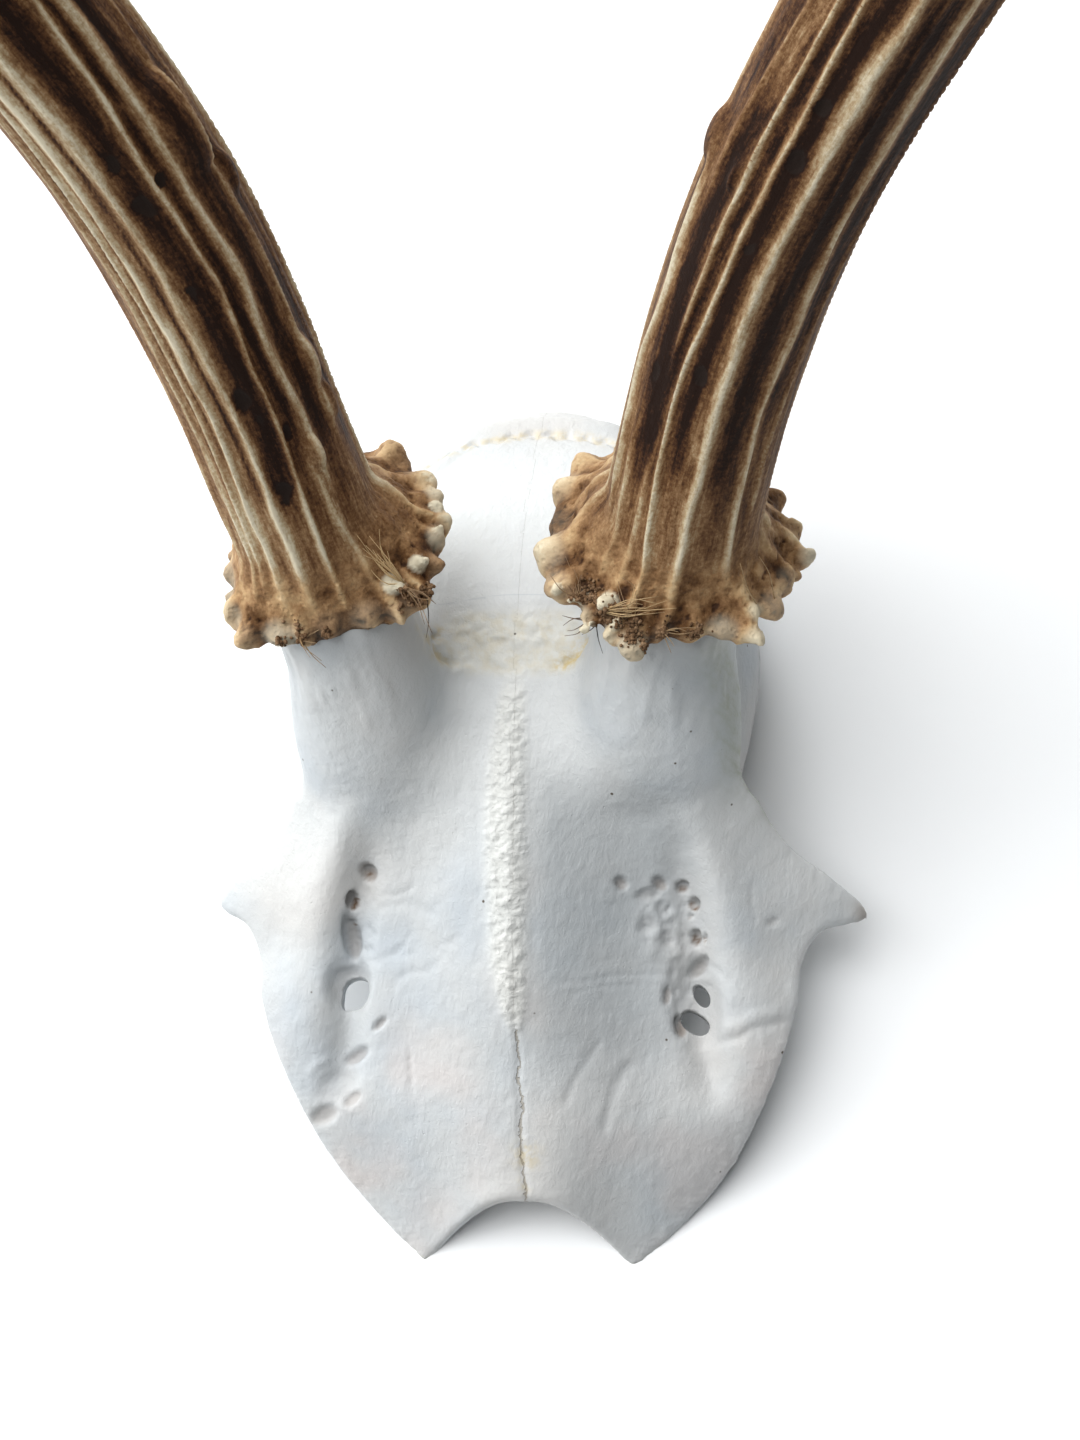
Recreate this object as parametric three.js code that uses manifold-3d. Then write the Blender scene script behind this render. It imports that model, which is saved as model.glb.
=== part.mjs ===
// Skull cap of a roe buck with both antlers, standing on its sawn underside.
// Millimetres, +Z up. The nose end points to -Y and the nape to +Y; +X is the animal's left.
// The cap is modelled whole, then parted along its sutures; each antler is parted at its forks.
import * as THREE from "three";
import { mergeVertices } from "three/addons/utils/BufferGeometryUtils.js";
import Module from "manifold-3d";

const wasm = await Module();
wasm.setup();

// ---------- driving dimensions ----------
const SUTURE_GAP = 0.3; // width of every parting cut
const REST_CENTRE = { x: 1.45, y: 79.67 }; // middle of the finished part's box, which becomes the origin

const FOREHEAD = {
  nasion: 4.6, // front edge on the midline
  rear: 77, // where the plate dies into the braincase
  thickness: 3.2,
  edgeThickness: 1.9,
  coronalSuture: 73.2,
};
// Height of the midline over the sawn plane, from the nasal notch to the nape, as [y, z].
const MIDLINE = [
  [-4, 5.4], [4.6, 8.9], [15, 13.2], [30, 19.2], [46.8, 25.5], [60, 29.8], [71.6, 32.6],
  [80, 33.4], [90, 31.2], [100, 25.8], [106, 21.9], [110, 18.8], [113, 16.6], [116, 13.8],
];
// Side edge of the forehead seen from above: nasal point, lacrimal edge, orbit, process, temple.
const SIDE_EDGE = [
  [13.9, -2.8], [18, 0.9], [22.6, 5.4], [26.8, 10.3], [30.4, 16.2], [33.8, 23.8], [35.8, 30.6],
  [36.4, 35.8], [38.4, 39.8], [43.8, 42.9], [40.4, 46.8], [34.8, 50.3], [31, 54.6], [28, 60],
  [26, 66], [21, 72],
];
const PROCESS = { x: 43.8, y: 42.9, width: 4, left: 1.2, right: -1 }; // its tip, and how each side differs
const SNOUT_LEAN = { shift: 0.6, from: 32, to: 8 }; // the nose end stands a little to the left
// How far the side edge lies below the midline, divided by the half width squared, as [y, share].
const CROSSFALL = [
  [-3, 0.0085], [5, 0.0087], [9.5, 0.0072], [18.5, 0.0054], [30, 0.0057], [36, 0.0069],
  [44, 0.007], [55, 0.0085], [70, 0.0075], [80, 0.007],
];
const BROW = { line: [[18, 58], [24, 47], [28, 36], [31, 22]], height: 2.4, width: 4.6 };
const GROOVE = { line: [[20.6, 47], [22.4, 38], [23.2, 29], [24.4, 20]], depth: 2.3, width: 2.3 };
const NASAL_POINT = { dip: 3.6, reach: 10, start: 13 };
// Blood-vessel openings that go right through the orbit's roof: [x, y, radius].
const FORAMINA = [[-22.6, 30.4, 2.0], [23.2, 31.1, 1.35], [22.3, 27.7, 1.8]];

// Walls between the orbits, as half widths along y; they carry the forehead down to the sawn plane.
const ETHMOID = {
  halfWidth: [[7, 8.5], [12, 12], [20, 14.6], [32, 15.8], [43, 18], [51, 22.4], [62, 26]],
  from: 8, to: 62, wall: 2.2, roof: 4.6, chamberTo: 49,
};

// Braincase, as sections along y: half width at its widest, and the exponent that squares it off.
const BRAINCASE = {
  from: 51, to: 115.8, widest: 8,
  halfWidth: [[51, 21], [56, 25.2], [62, 27.6], [70, 29.4], [79, 30.4], [88, 29.2], [97, 26],
    [103, 23], [108, 18.6], [112, 13.8], [115.8, 7]],
  squareness: [[51, 2], [80, 2.1], [97, 2.3], [108, 2.7], [116, 3]],
  sunk: [[51, 4], [66, 1.2], [74, 0.3], [80, 0]], // depth of its roof under the forehead plate
  wall: 3.2, chamberFrom: 58, chamberTo: 110.5, lambdoidSuture: 107.6,
};

const PEDICLE = { radius: 9.1, elevation: 58, azimuth: 17, flareFrom: 13, flareTo: 25, flare: 1.4, taper: 9, cutAt: 14.5 };
// Course of a pedicle from its foot inside the forehead: [outwards, back, up] from the antler's foot.
const PEDICLE_FOOT = [-2.4, -23, -32.5];
// Trumpet of the coronet, as [height, radius] along its own axis.
const CORONET = {
  profile: [[0, 11.6], [1.3, 13.4], [2.8, 16], [4.6, 17], [6, 16.2], [7.6, 13.8], [9.2, 11.9], [11.8, 10.4]],
  below: 4.6, rim: 4.4, rimWidth: 3, knobs: 11, slimAt: -105, slimReach: 60,
};
// Main beam from its foot to its top point, outwards, back and up from the antler's foot.
const BEAM_SPINE = [
  [0, 0, 0], [3.5, 8.6, 14.3], [7.9, 16.5, 28.6], [13.5, 24, 42.7], [20.3, 30.7, 56.7],
  [28.1, 36.2, 70.6], [35.7, 40.6, 84.9], [42.1, 44.2, 99.7], [46.7, 48.2, 115.1],
  [48.7, 52.4, 130.7], [48.1, 55.2, 146.5], [45.5, 56, 161.7], [41.7, 54.8, 175.5],
];
const BEAM_RADIUS = [[0, 10], [10, 9.8], [25, 9.6], [50, 9.8], [75, 10], [100, 10.2], [114, 9.8],
  [135, 8.2], [152, 7.3], [170, 5.6], [184, 3.8], [192, 2.1], [196.8, 0.5]];
const FORKS = { front: 112, rear: 150 }; // beam lengths where the tines leave
const FRONT_TINE = {
  root: 110, points: [[2, -9, 9], [4.2, -20, 21], [5, -28.5, 35], [3.4, -33, 50]],
  radius: [[0, 8], [12, 6.9], [30, 5.4], [45, 3.8], [55, 2.1], [61.5, 0.5]],
};
const REAR_TINE = {
  root: 147, points: [[3, 10, 4], [5.4, 20.5, 11], [6.2, 29, 21], [5, 34, 32]],
  radius: [[0, 7], [10, 6.2], [24, 4.7], [36, 3.3], [44, 1.9], [49.4, 0.5]],
};
// The two antlers. Pearls are raised grains: [length along the beam, degrees from front to +X, size].
const ANTLERS = {
  left: {
    side: 1, foot: [20.9, 76.2, 47.5], girth: 1, closeIn: [[0, 0.4], [40, 0.5], [70, 0.1], [120, 0]],
    coronet: { centre: [20.3, 79.3, 47.9], azimuth: 21.5, elevation: 69.3, scale: 1.04, phase: 0.4, slim: 0 },
    pearls: [[57, -95, 2.6], [88, 150, 3], [30, 140, 2.6]],
  },
  right: {
    side: -1, foot: [22.4, 76.2, 47.5], girth: 0.99, closeIn: [[0, 0], [20, 0], [37, 1.5], [59, 3.2], [80, 4.4]],
    coronet: { centre: [22.9, 78.7, 47.9], azimuth: 23.5, elevation: 72.1, scale: 1.02, phase: 1.9, slim: 0.3 },
    pearls: [[62, 80, 5], [31, 84, 2.4], [92, -150, 3]],
  },
};

// ---------- small helpers ----------
// Reads a table of [position, value] rows with smooth steps between them.
function along(table, at) {
  const last = table.length - 1;
  if (at <= table[0][0]) return table[0][1];
  if (at >= table[last][0]) return table[last][1];
  const i = table.findIndex((row) => row[0] > at) - 1;
  const slope = (k) => {
    const a = table[Math.max(k - 1, 0)];
    const b = table[Math.min(k + 1, last)];
    return (b[1] - a[1]) / (b[0] - a[0]);
  };
  const span = table[i + 1][0] - table[i][0];
  const t = (at - table[i][0]) / span;
  const rise = table[i + 1][1] - table[i][1];
  const m0 = slope(i) * span;
  const m1 = slope(i + 1) * span;
  return table[i][1] + m0 * t + (3 * rise - 2 * m0 - m1) * t * t + (m0 + m1 - 2 * rise) * t * t * t;
}

const smooth = THREE.MathUtils.smoothstep;
const lerp = THREE.MathUtils.lerp;
const radians = THREE.MathUtils.degToRad;
const bell = (distance, width) => Math.exp(-((distance / width) ** 2));

// Moves every point of a three.js geometry with a function of its old place.
function warp(geometry, move) {
  const place = geometry.getAttribute("position");
  for (let i = 0; i < place.count; i++) {
    place.setXYZ(i, ...move(place.getX(i), place.getY(i), place.getZ(i)));
  }
  return geometry;
}

// Turns a closed geometry's faces round where the warp has left them pointing in.
function facingOut(geometry) {
  const place = geometry.getAttribute("position");
  const order = geometry.index.array;
  const [a, b, c] = [new THREE.Vector3(), new THREE.Vector3(), new THREE.Vector3()];
  let volume = 0;
  for (let i = 0; i < order.length; i += 3) {
    a.fromBufferAttribute(place, order[i]);
    b.fromBufferAttribute(place, order[i + 1]);
    c.fromBufferAttribute(place, order[i + 2]);
    volume += a.dot(b.cross(c));
  }
  if (volume > 0) return geometry;
  for (let i = 0; i < order.length; i += 3) {
    [order[i + 1], order[i + 2]] = [order[i + 2], order[i + 1]];
  }
  return geometry;
}

function toSolid(geometry) {
  const plain = facingOut(geometry).clone();
  plain.deleteAttribute("normal");
  plain.deleteAttribute("uv");
  const merged = mergeVertices(plain, 1e-4);
  return new wasm.Manifold(new wasm.Mesh({
    numProp: 3,
    vertProperties: merged.getAttribute("position").array,
    triVerts: new Uint32Array(merged.index.array),
  }));
}

function toMesh(name, solid, material) {
  const made = solid.getMesh();
  const geometry = new THREE.BufferGeometry();
  geometry.setAttribute("position", new THREE.BufferAttribute(new Float32Array(made.vertProperties), 3));
  geometry.setIndex(new THREE.BufferAttribute(new Uint32Array(made.triVerts), 1));
  geometry.computeVertexNormals();
  const mesh = new THREE.Mesh(geometry, material);
  mesh.name = name;
  return mesh;
}

// A block between two corners, for trimming and parting.
function block(low, high) {
  const size = high.map((value, i) => value - low[i]);
  const geometry = new THREE.BoxGeometry(...size);
  geometry.translate(...low.map((value, i) => value + size[i] / 2));
  return toSolid(geometry);
}

// ---------- the forehead's surface ----------
const edgeCurve = new THREE.CatmullRomCurve3(
  SIDE_EDGE.map(([x, y]) => new THREE.Vector3(x, y, 0)), false, "centripetal");

// Sideways distance from a line of [x, y] points that runs along y, and a share that fades past its ends.
function offLine(line, x, y) {
  const ordered = line.map(([px, py]) => [py, px]).sort((a, b) => a[0] - b[0]);
  const first = ordered[0][0];
  const last = ordered[ordered.length - 1][0];
  const fade = smooth(y, first - 5, first + 3) * (1 - smooth(y, last - 3, last + 6));
  return { distance: Math.abs(x) - along(ordered, y), fade };
}

function foreheadHeight(x, y) {
  const half = Math.abs(x);
  const brow = offLine(BROW.line, x, y);
  const groove = offLine(GROOVE.line, x, y);
  const outwards = smooth(half, 2, 2 + NASAL_POINT.reach);
  const dip = NASAL_POINT.dip * outwards * (1 - smooth(y, -3, NASAL_POINT.start));
  return along(MIDLINE, y) - along(CROSSFALL, y) * half * half - dip
    + BROW.height * bell(brow.distance, BROW.width) * brow.fade
    - GROOVE.depth * bell(groove.distance, GROOVE.width) * groove.fade;
}

// Place on the plate seen from above: across runs -1 to 1, back runs 0 at the nose edge to 1.
function foreheadPlan(across, back) {
  const edge = edgeCurve.getPoint(back);
  const reach = across > 0 ? PROCESS.left : PROCESS.right;
  const edgeX = edge.x + reach * bell(Math.hypot(edge.x - PROCESS.x, edge.y - PROCESS.y), PROCESS.width);
  const middle = lerp(FOREHEAD.nasion, FOREHEAD.rear, back ** 0.85);
  const share = Math.abs(across);
  const notchArch = 2.7 * share * (1 - share) * (1 - smooth(back, 0, 0.35));
  const y = lerp(middle, edge.y, share ** 1.6) + notchArch;
  const lean = SNOUT_LEAN.shift * (1 - smooth(y, SNOUT_LEAN.to, SNOUT_LEAN.from));
  return [across * edgeX, y, lean];
}

function foreheadPlate() {
  const geometry = new THREE.BoxGeometry(2, 1, 1, 22, 16, 1);
  return toSolid(warp(geometry, (u, v, w) => {
    const [x, y, lean] = foreheadPlan(u, v + 0.5);
    const depth = lerp(FOREHEAD.thickness, FOREHEAD.edgeThickness, Math.abs(u) ** 3);
    return [x + lean, y, foreheadHeight(x, y) - (w > 0 ? 0 : depth)];
  }));
}

// Block under the forehead between the orbits, or the chamber inside it when it is inset.
function ethmoidBlock(inset, roof, to) {
  const geometry = new THREE.BoxGeometry(2, 1, 1, 6, 8, 1);
  return toSolid(warp(geometry, (u, v, w) => {
    const y = lerp(ETHMOID.from + inset, to, v + 0.5);
    const x = u * (along(ETHMOID.halfWidth, y) - inset);
    return [x, y, w > 0 ? foreheadHeight(x, y) - roof : -5];
  }));
}

// ---------- the braincase ----------
// Closed loft of squared-off half rounds along y; inset makes the chamber inside it.
function braincaseLoft(from, to, inset) {
  const geometry = new THREE.CylinderGeometry(1, 1, 1, inset > 0 ? 20 : 32, inset > 0 ? 7 : 11);
  return toSolid(warp(geometry, (a, v, b) => {
    const y = from + (to - from) * Math.sin((v + 0.5) * Math.PI / 2) ** 0.9;
    const roof = along(MIDLINE, y) - along(BRAINCASE.sunk, y) - inset;
    const half = along(BRAINCASE.halfWidth, y) - inset;
    const power = 2 / along(BRAINCASE.squareness, y);
    const square = (value) => Math.sign(value) * Math.abs(value) ** power;
    const rise = b < 0 ? roof - BRAINCASE.widest : BRAINCASE.widest + 12;
    return [half * square(a), y, BRAINCASE.widest - rise * square(b)];
  }));
}

// ---------- tubes: pedicles, coronets, beams and tines ----------
// Place on a tube: u and v are the unit circle, and t runs along the curve in millimetres.
function tubePoint(curve, length, t, u, v, radius) {
  const share = THREE.MathUtils.clamp(t / length, 0, 1);
  const centre = curve.getPointAt(share);
  const tangent = curve.getTangentAt(share);
  const forward = new THREE.Vector3(0, -1, 0).addScaledVector(tangent, tangent.y).normalize();
  const sideways = new THREE.Vector3().crossVectors(forward, tangent);
  if (sideways.x < 0) sideways.negate();
  return centre.addScaledVector(sideways, u * radius).addScaledVector(forward, v * radius);
}

// Closed tube with flat ends; radius is a function of the length and the angle round it.
function tube(curve, from, to, radius, around, steps) {
  const length = curve.getLength();
  const geometry = new THREE.CylinderGeometry(1, 1, 1, around, steps);
  return toSolid(warp(geometry, (u, h, v) => {
    const t = lerp(from, to, h + 0.5);
    return tubePoint(curve, length, t, u, v, radius(t, Math.atan2(u, v))).toArray();
  }));
}

function straight(centre, azimuth, elevation, side, from, to) {
  const [out, up] = [radians(azimuth), radians(elevation)];
  const axis = new THREE.Vector3(side * Math.cos(up) * Math.sin(out), Math.cos(up) * Math.cos(out), Math.sin(up));
  const at = (distance) => new THREE.Vector3(side * centre[0], centre[1], centre[2]).addScaledVector(axis, distance);
  return new THREE.LineCurve3(at(from), at(to));
}

// Curve of points given outwards, back and up from an antler's foot.
function fromFoot(antler, points) {
  const [x, y, z] = antler.foot;
  return new THREE.CatmullRomCurve3(
    points.map(([out, back, up]) => new THREE.Vector3(antler.side * (x + out), y + back, z + up)));
}

function coronetSleeve({ side, coronet }, from, to) {
  const line = straight(coronet.centre, coronet.azimuth, coronet.elevation, side, from, to);
  return tube(line, 0, to - from, () => 40, 16, 1);
}

function pedicleSleeve({ side, foot }, from, radius) {
  const line = straight(foot, PEDICLE.azimuth, PEDICLE.elevation, side, from, 8);
  return tube(line, 0, 8 - from, () => radius, 20, 1);
}

// Bony stalk under the coronet, which spreads at its foot and leans forward into the brow.
function pedicle(antler) {
  const shaft = straight([0, 0, 0], PEDICLE.azimuth, PEDICLE.elevation, 1, -PEDICLE.cutAt, 4);
  const line = fromFoot(antler, [PEDICLE_FOOT, shaft.v1.toArray(), [0, 0, 0], shaft.v2.toArray()]);
  const length = line.getLength();
  const radius = (t, angle) => {
    const flare = PEDICLE.flare * smooth(length - t, PEDICLE.flareFrom, PEDICLE.flareTo);
    const taper = 0.55 + 0.45 * smooth(t, 0, PEDICLE.taper);
    return (PEDICLE.radius + flare * Math.abs(Math.sin(angle))) * taper;
  };
  return tube(line, 0, length, radius, 20, 6).subtract(coronetSleeve(antler, -CORONET.below - SUTURE_GAP, 30));
}

// Knobbly ruff round the antler's foot: a trumpet with a scalloped rim.
function coronet({ side, coronet: ring }) {
  const height = CORONET.profile[CORONET.profile.length - 1][0];
  const line = straight(ring.centre, ring.azimuth, ring.elevation, side, -CORONET.below, height - CORONET.below);
  const radius = (t, angle) => {
    const knobs = 0.05 * Math.cos(CORONET.knobs * angle + ring.phase) + 0.03 * Math.cos(3 * angle - ring.phase);
    const slim = ring.slim * bell(Math.sin((angle - radians(CORONET.slimAt)) / 2), Math.sin(radians(CORONET.slimReach / 2)));
    const scallop = knobs * bell(t - CORONET.rim, CORONET.rimWidth);
    return ring.scale * along(CORONET.profile, t) * (1 + scallop - slim * smooth(t, 0, CORONET.rim));
  };
  return tube(line, 0, height, radius, 40, 6);
}

function beamCurve(antler) {
  const curve = fromFoot(antler, BEAM_SPINE);
  const length = curve.getLength();
  curve.points.forEach((point, i) => {
    point.x -= antler.side * along(antler.closeIn, length * i / (BEAM_SPINE.length - 1));
  });
  return curve;
}

function beam(antler, from, to, around, steps, grow = 0) {
  const curve = beamCurve(antler);
  const design = BEAM_RADIUS[BEAM_RADIUS.length - 1][0] / curve.getLength();
  const flutes = (angle) => 1 + 0.018 * Math.cos(5 * angle + antler.side);
  const radius = (t, angle) => antler.girth * along(BEAM_RADIUS, t * design) * flutes(angle) + grow;
  return tube(curve, from, to, radius, around, steps);
}

function pearl(antler, [t, degrees, size]) {
  const curve = beamCurve(antler);
  const length = curve.getLength();
  const angle = radians(degrees);
  const reach = along(BEAM_RADIUS, t) - 0.3 * size;
  const centre = tubePoint(curve, length, t, Math.sin(angle), Math.cos(angle), reach);
  const geometry = new THREE.SphereGeometry(size * 0.75, 10, 6);
  geometry.scale(1, 2.2, 1);
  geometry.applyQuaternion(
    new THREE.Quaternion().setFromUnitVectors(new THREE.Vector3(0, 1, 0), curve.getTangentAt(t / length)));
  return toSolid(geometry.translate(...centre.toArray()));
}

function tine(antler, { root, points, radius }) {
  const curve = beamCurve(antler);
  const start = curve.getPointAt(root / curve.getLength());
  const route = points.map(([out, back, up]) => start.clone().add(new THREE.Vector3(antler.side * out, back, up)));
  const spine = new THREE.CatmullRomCurve3([start, ...route]);
  return tube(spine, 0, spine.getLength(), (t) => along(radius, t), 14, 8);
}

// ---------- parting into named nodes ----------
const FAR = 400;

function buildCap() {
  const sawn = block([-FAR, -FAR, -FAR], [FAR, FAR, 0]);
  let cap = foreheadPlate()
    .add(ethmoidBlock(0, 1.2, ETHMOID.to))
    .add(braincaseLoft(BRAINCASE.from, BRAINCASE.to, 0))
    .add(pedicle(ANTLERS.left))
    .add(pedicle(ANTLERS.right))
    .subtract(ethmoidBlock(ETHMOID.wall, ETHMOID.roof, ETHMOID.chamberTo))
    .subtract(braincaseLoft(BRAINCASE.chamberFrom, BRAINCASE.chamberTo, BRAINCASE.wall))
    .subtract(sawn);
  for (const [x, y, radius] of FORAMINA) {
    const drill = new THREE.CylinderGeometry(radius, radius, 30, 16).rotateX(Math.PI / 2);
    cap = cap.subtract(toSolid(drill.translate(x, y, 12)));
  }
  return cap;
}

function capNodes() {
  const nodes = [];
  const half = SUTURE_GAP / 2;
  let cap = buildCap();
  for (const [name, antler] of Object.entries(ANTLERS)) {
    const shaft = cap.intersect(pedicleSleeve(antler, half - PEDICLE.cutAt, PEDICLE.radius + 0.9));
    nodes.push([`pedicle_${name}`, shaft, "bone"]);
    cap = cap.subtract(pedicleSleeve(antler, -half - PEDICLE.cutAt, PEDICLE.radius + 1.2));
  }
  const coronal = FOREHEAD.coronalSuture;
  const lambdoid = BRAINCASE.lambdoidSuture;
  const frontals = cap.intersect(block([-FAR, -FAR, -1], [FAR, coronal - half, FAR]));
  nodes.push(["frontal_left", frontals.intersect(block([half, -FAR, -1], [FAR, FAR, FAR])), "bone"]);
  nodes.push(["frontal_right", frontals.intersect(block([-FAR, -FAR, -1], [-half, FAR, FAR])), "bone"]);
  nodes.push(["parietal", cap.intersect(block([-FAR, coronal + half, -1], [FAR, lambdoid - half, FAR])), "bone"]);
  nodes.push(["occipital", cap.intersect(block([-FAR, lambdoid + half, -1], [FAR, FAR, FAR])), "bone"]);
  return nodes;
}

function antlerNodes(name, antler) {
  const tip = beamCurve(antler).getLength();
  const ruff = CORONET.profile[CORONET.profile.length - 1][0] - CORONET.below;
  let lower = beam(antler, 0, FORKS.front, 18, 13).subtract(coronetSleeve(antler, -30, ruff + SUTURE_GAP));
  for (const bump of antler.pearls) lower = lower.add(pearl(antler, bump));
  const clearance = beam(antler, 60, tip - 12, 14, 16, SUTURE_GAP);
  return [
    [`coronet_${name}`, coronet(antler), "coronet"],
    [`beam_lower_${name}`, lower, "antler"],
    [`beam_upper_${name}`, beam(antler, FORKS.front + SUTURE_GAP, FORKS.rear, 14, 5), "antler"],
    [`top_tine_${name}`, beam(antler, FORKS.rear + SUTURE_GAP, tip, 14, 8), "antler"],
    [`front_tine_${name}`, tine(antler, FRONT_TINE).subtract(clearance), "antler"],
    [`rear_tine_${name}`, tine(antler, REAR_TINE).subtract(clearance), "antler"],
  ];
}

// ---------- the object ----------
const materials = {
  bone: new THREE.MeshStandardMaterial({ color: 0xf1f0ea, roughness: 0.62, metalness: 0 }),
  coronet: new THREE.MeshStandardMaterial({ color: 0xb08a5c, roughness: 0.7, metalness: 0 }),
  antler: new THREE.MeshStandardMaterial({ color: 0x6e4d30, roughness: 0.55, metalness: 0 }),
};

const skullCap = new THREE.Group();
const nodes = [...capNodes(), ...Object.entries(ANTLERS).flatMap(([name, antler]) => antlerNodes(name, antler))];
for (const [name, solid, finish] of nodes) skullCap.add(toMesh(name, solid, materials[finish]));
skullCap.position.set(-REST_CENTRE.x, -REST_CENTRE.y, 0);

export default skullCap;
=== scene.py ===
# Roe buck's skull cap with both antlers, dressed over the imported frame.
# Shapes are worked out in millimetres on the skull's own axes; each finished piece is set down in metres.
import math
import bpy
import bmesh
import numpy as np
from mathutils import Matrix, Vector


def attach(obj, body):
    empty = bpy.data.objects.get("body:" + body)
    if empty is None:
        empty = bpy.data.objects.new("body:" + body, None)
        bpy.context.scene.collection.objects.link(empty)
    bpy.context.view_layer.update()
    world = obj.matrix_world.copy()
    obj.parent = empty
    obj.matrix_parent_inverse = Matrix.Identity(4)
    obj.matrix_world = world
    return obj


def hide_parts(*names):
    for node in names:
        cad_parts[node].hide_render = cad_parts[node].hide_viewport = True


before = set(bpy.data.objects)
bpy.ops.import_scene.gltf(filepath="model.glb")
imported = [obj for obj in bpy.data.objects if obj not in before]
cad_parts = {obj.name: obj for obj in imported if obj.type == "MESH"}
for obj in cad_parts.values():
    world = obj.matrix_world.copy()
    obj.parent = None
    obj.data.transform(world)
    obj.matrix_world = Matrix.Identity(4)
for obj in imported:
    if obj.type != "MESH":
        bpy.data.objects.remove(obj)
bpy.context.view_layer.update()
restCentre = np.array([1.45, 79.67, 0])  # the skull's place in its own axes, from the part's source

# Camera
cameraStand = {
    "place": (0.03692, -0.11373, 0.29765),
    "right": (0.9923, 0.0436, -0.1164),
    "up": (-0.0013, 0.9401, 0.3409),
    "back": (0.1242, -0.3382, 0.9329),
    "lens": 55.5,
}


def placeCamera():
    data = bpy.data.cameras.new("camera")
    data.lens = cameraStand["lens"]
    data.clip_start = 0.01
    camera = bpy.data.objects.new("camera", data)
    turn = Matrix([cameraStand["right"], cameraStand["up"], cameraStand["back"]]).transposed()
    camera.matrix_world = Matrix.Translation(cameraStand["place"]) @ turn.to_4x4()
    bpy.context.scene.collection.objects.link(camera)
    bpy.context.scene.camera = camera


placeCamera()


# Numbers and curves
def ease(value, low, high):
    share = np.clip((np.asarray(value, float) - low) / (high - low), 0, 1)
    return share * share * (3 - 2 * share)


def bell(distance, width):
    return np.exp(-(distance / width) ** 2)


def wrapped(angle):
    return (angle + math.pi) % (2 * math.pi) - math.pi


def blend(low, high, share):
    return low + (high - low) * share


def unit(rows):
    return rows / np.maximum(np.linalg.norm(rows, axis=-1, keepdims=True), 1e-9)


def along(table, at):  # reads a table of [place, value] rows with smooth steps between them
    rows = np.array(table, float)
    keys, values = rows[:, 0], rows[:, 1]
    slopes = np.empty(len(keys))
    slopes[1:-1] = (values[2:] - values[:-2]) / (keys[2:] - keys[:-2])
    slopes[0] = (values[1] - values[0]) / (keys[1] - keys[0])
    slopes[-1] = (values[-1] - values[-2]) / (keys[-1] - keys[-2])
    at = np.clip(np.asarray(at, float), keys[0], keys[-1])
    i = np.clip(np.searchsorted(keys, at, side="right") - 1, 0, len(keys) - 2)
    span = keys[i + 1] - keys[i]
    t = (at - keys[i]) / span
    rise = values[i + 1] - values[i]
    m0, m1 = slopes[i] * span, slopes[i + 1] * span
    return values[i] + m0 * t + (3 * rise - 2 * m0 - m1) * t * t + (m0 + m1 - 2 * rise) * t ** 3


def straight(table, at):  # reads such a table with straight lines between the rows
    rows = np.array(table, float)
    return np.interp(at, rows[:, 0], rows[:, 1])


def smoothLine(points):  # a curve through the points, with 60 steps between each two
    p = np.array(points, float)
    p = np.vstack([2 * p[0] - p[1], p, 2 * p[-1] - p[-2]])
    t = np.linspace(0, 1, 60, endpoint=False)[:, None]
    rows = []
    for i in range(1, len(p) - 2):
        a, b, c, d = p[i - 1:i + 3]
        k = [max(np.linalg.norm(r - q), 1e-6) ** 0.5 for q, r in ((a, b), (b, c), (c, d))]
        m1 = ((b - a) / k[0] - (c - a) / (k[0] + k[1]) + (c - b) / k[1]) * k[1]
        m2 = ((c - b) / k[1] - (d - b) / (k[1] + k[2]) + (d - c) / k[2]) * k[1]
        square, cube = 3 * c - 3 * b - 2 * m1 - m2, 2 * b - 2 * c + m1 + m2
        rows.append(b + m1 * t + square * t ** 2 + cube * t ** 3)
    rows.append(p[-2][None])
    return np.vstack(rows)


def courseThrough(points):
    line = smoothLine(points)
    at = np.concatenate([[0], np.cumsum(np.linalg.norm(np.diff(line, axis=0), axis=1))])
    return {"at": at, "line": line, "tangent": unit(np.gradient(line, at, axis=0)), "length": at[-1]}


def stationOn(course, at):  # centre, tangent, sideways and forward directions at lengths along a course
    pick = lambda rows: np.stack([np.interp(at, course["at"], rows[:, k]) for k in range(3)], -1)
    centre, tangent = pick(course["line"]), unit(pick(course["tangent"]))
    forward = unit(np.array([0, -1, 0]) + tangent * tangent[..., 1:2])
    sideways = np.cross(forward, tangent)
    sideways *= np.where(sideways[..., :1] < 0, -1, 1)
    return centre, tangent, sideways, forward


def onTube(course, at, angle, radius):
    centre, __, sideways, forward = stationOn(course, at)
    across, ahead = (np.sin(angle) * radius)[:, None], (np.cos(angle) * radius)[:, None]
    return centre + sideways * across + forward * ahead


def nearestOn(course, points):  # length along the course, angle round it and distance from it
    at = np.linspace(0, course["length"], 260)
    centre = stationOn(course, at)[0]
    best = np.empty(len(points))
    for start in range(0, len(points), 20000):
        part = points[start:start + 20000]
        gap = (part ** 2).sum(1)[:, None] - 2 * part @ centre.T + (centre ** 2).sum(1)
        best[start:start + 20000] = at[gap.argmin(1)]
    for _ in range(3):
        centre, tangent, sideways, forward = stationOn(course, best)
        best = np.clip(best + ((points - centre) * tangent).sum(1) * 0.8, 0, course["length"])
    centre, tangent, sideways, forward = stationOn(course, best)
    off = points - centre
    beyond = (off * tangent).sum(1)
    u, v = (off * sideways).sum(1), (off * forward).sum(1)
    return best + beyond, np.arctan2(u, v), np.hypot(u, v)


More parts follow.
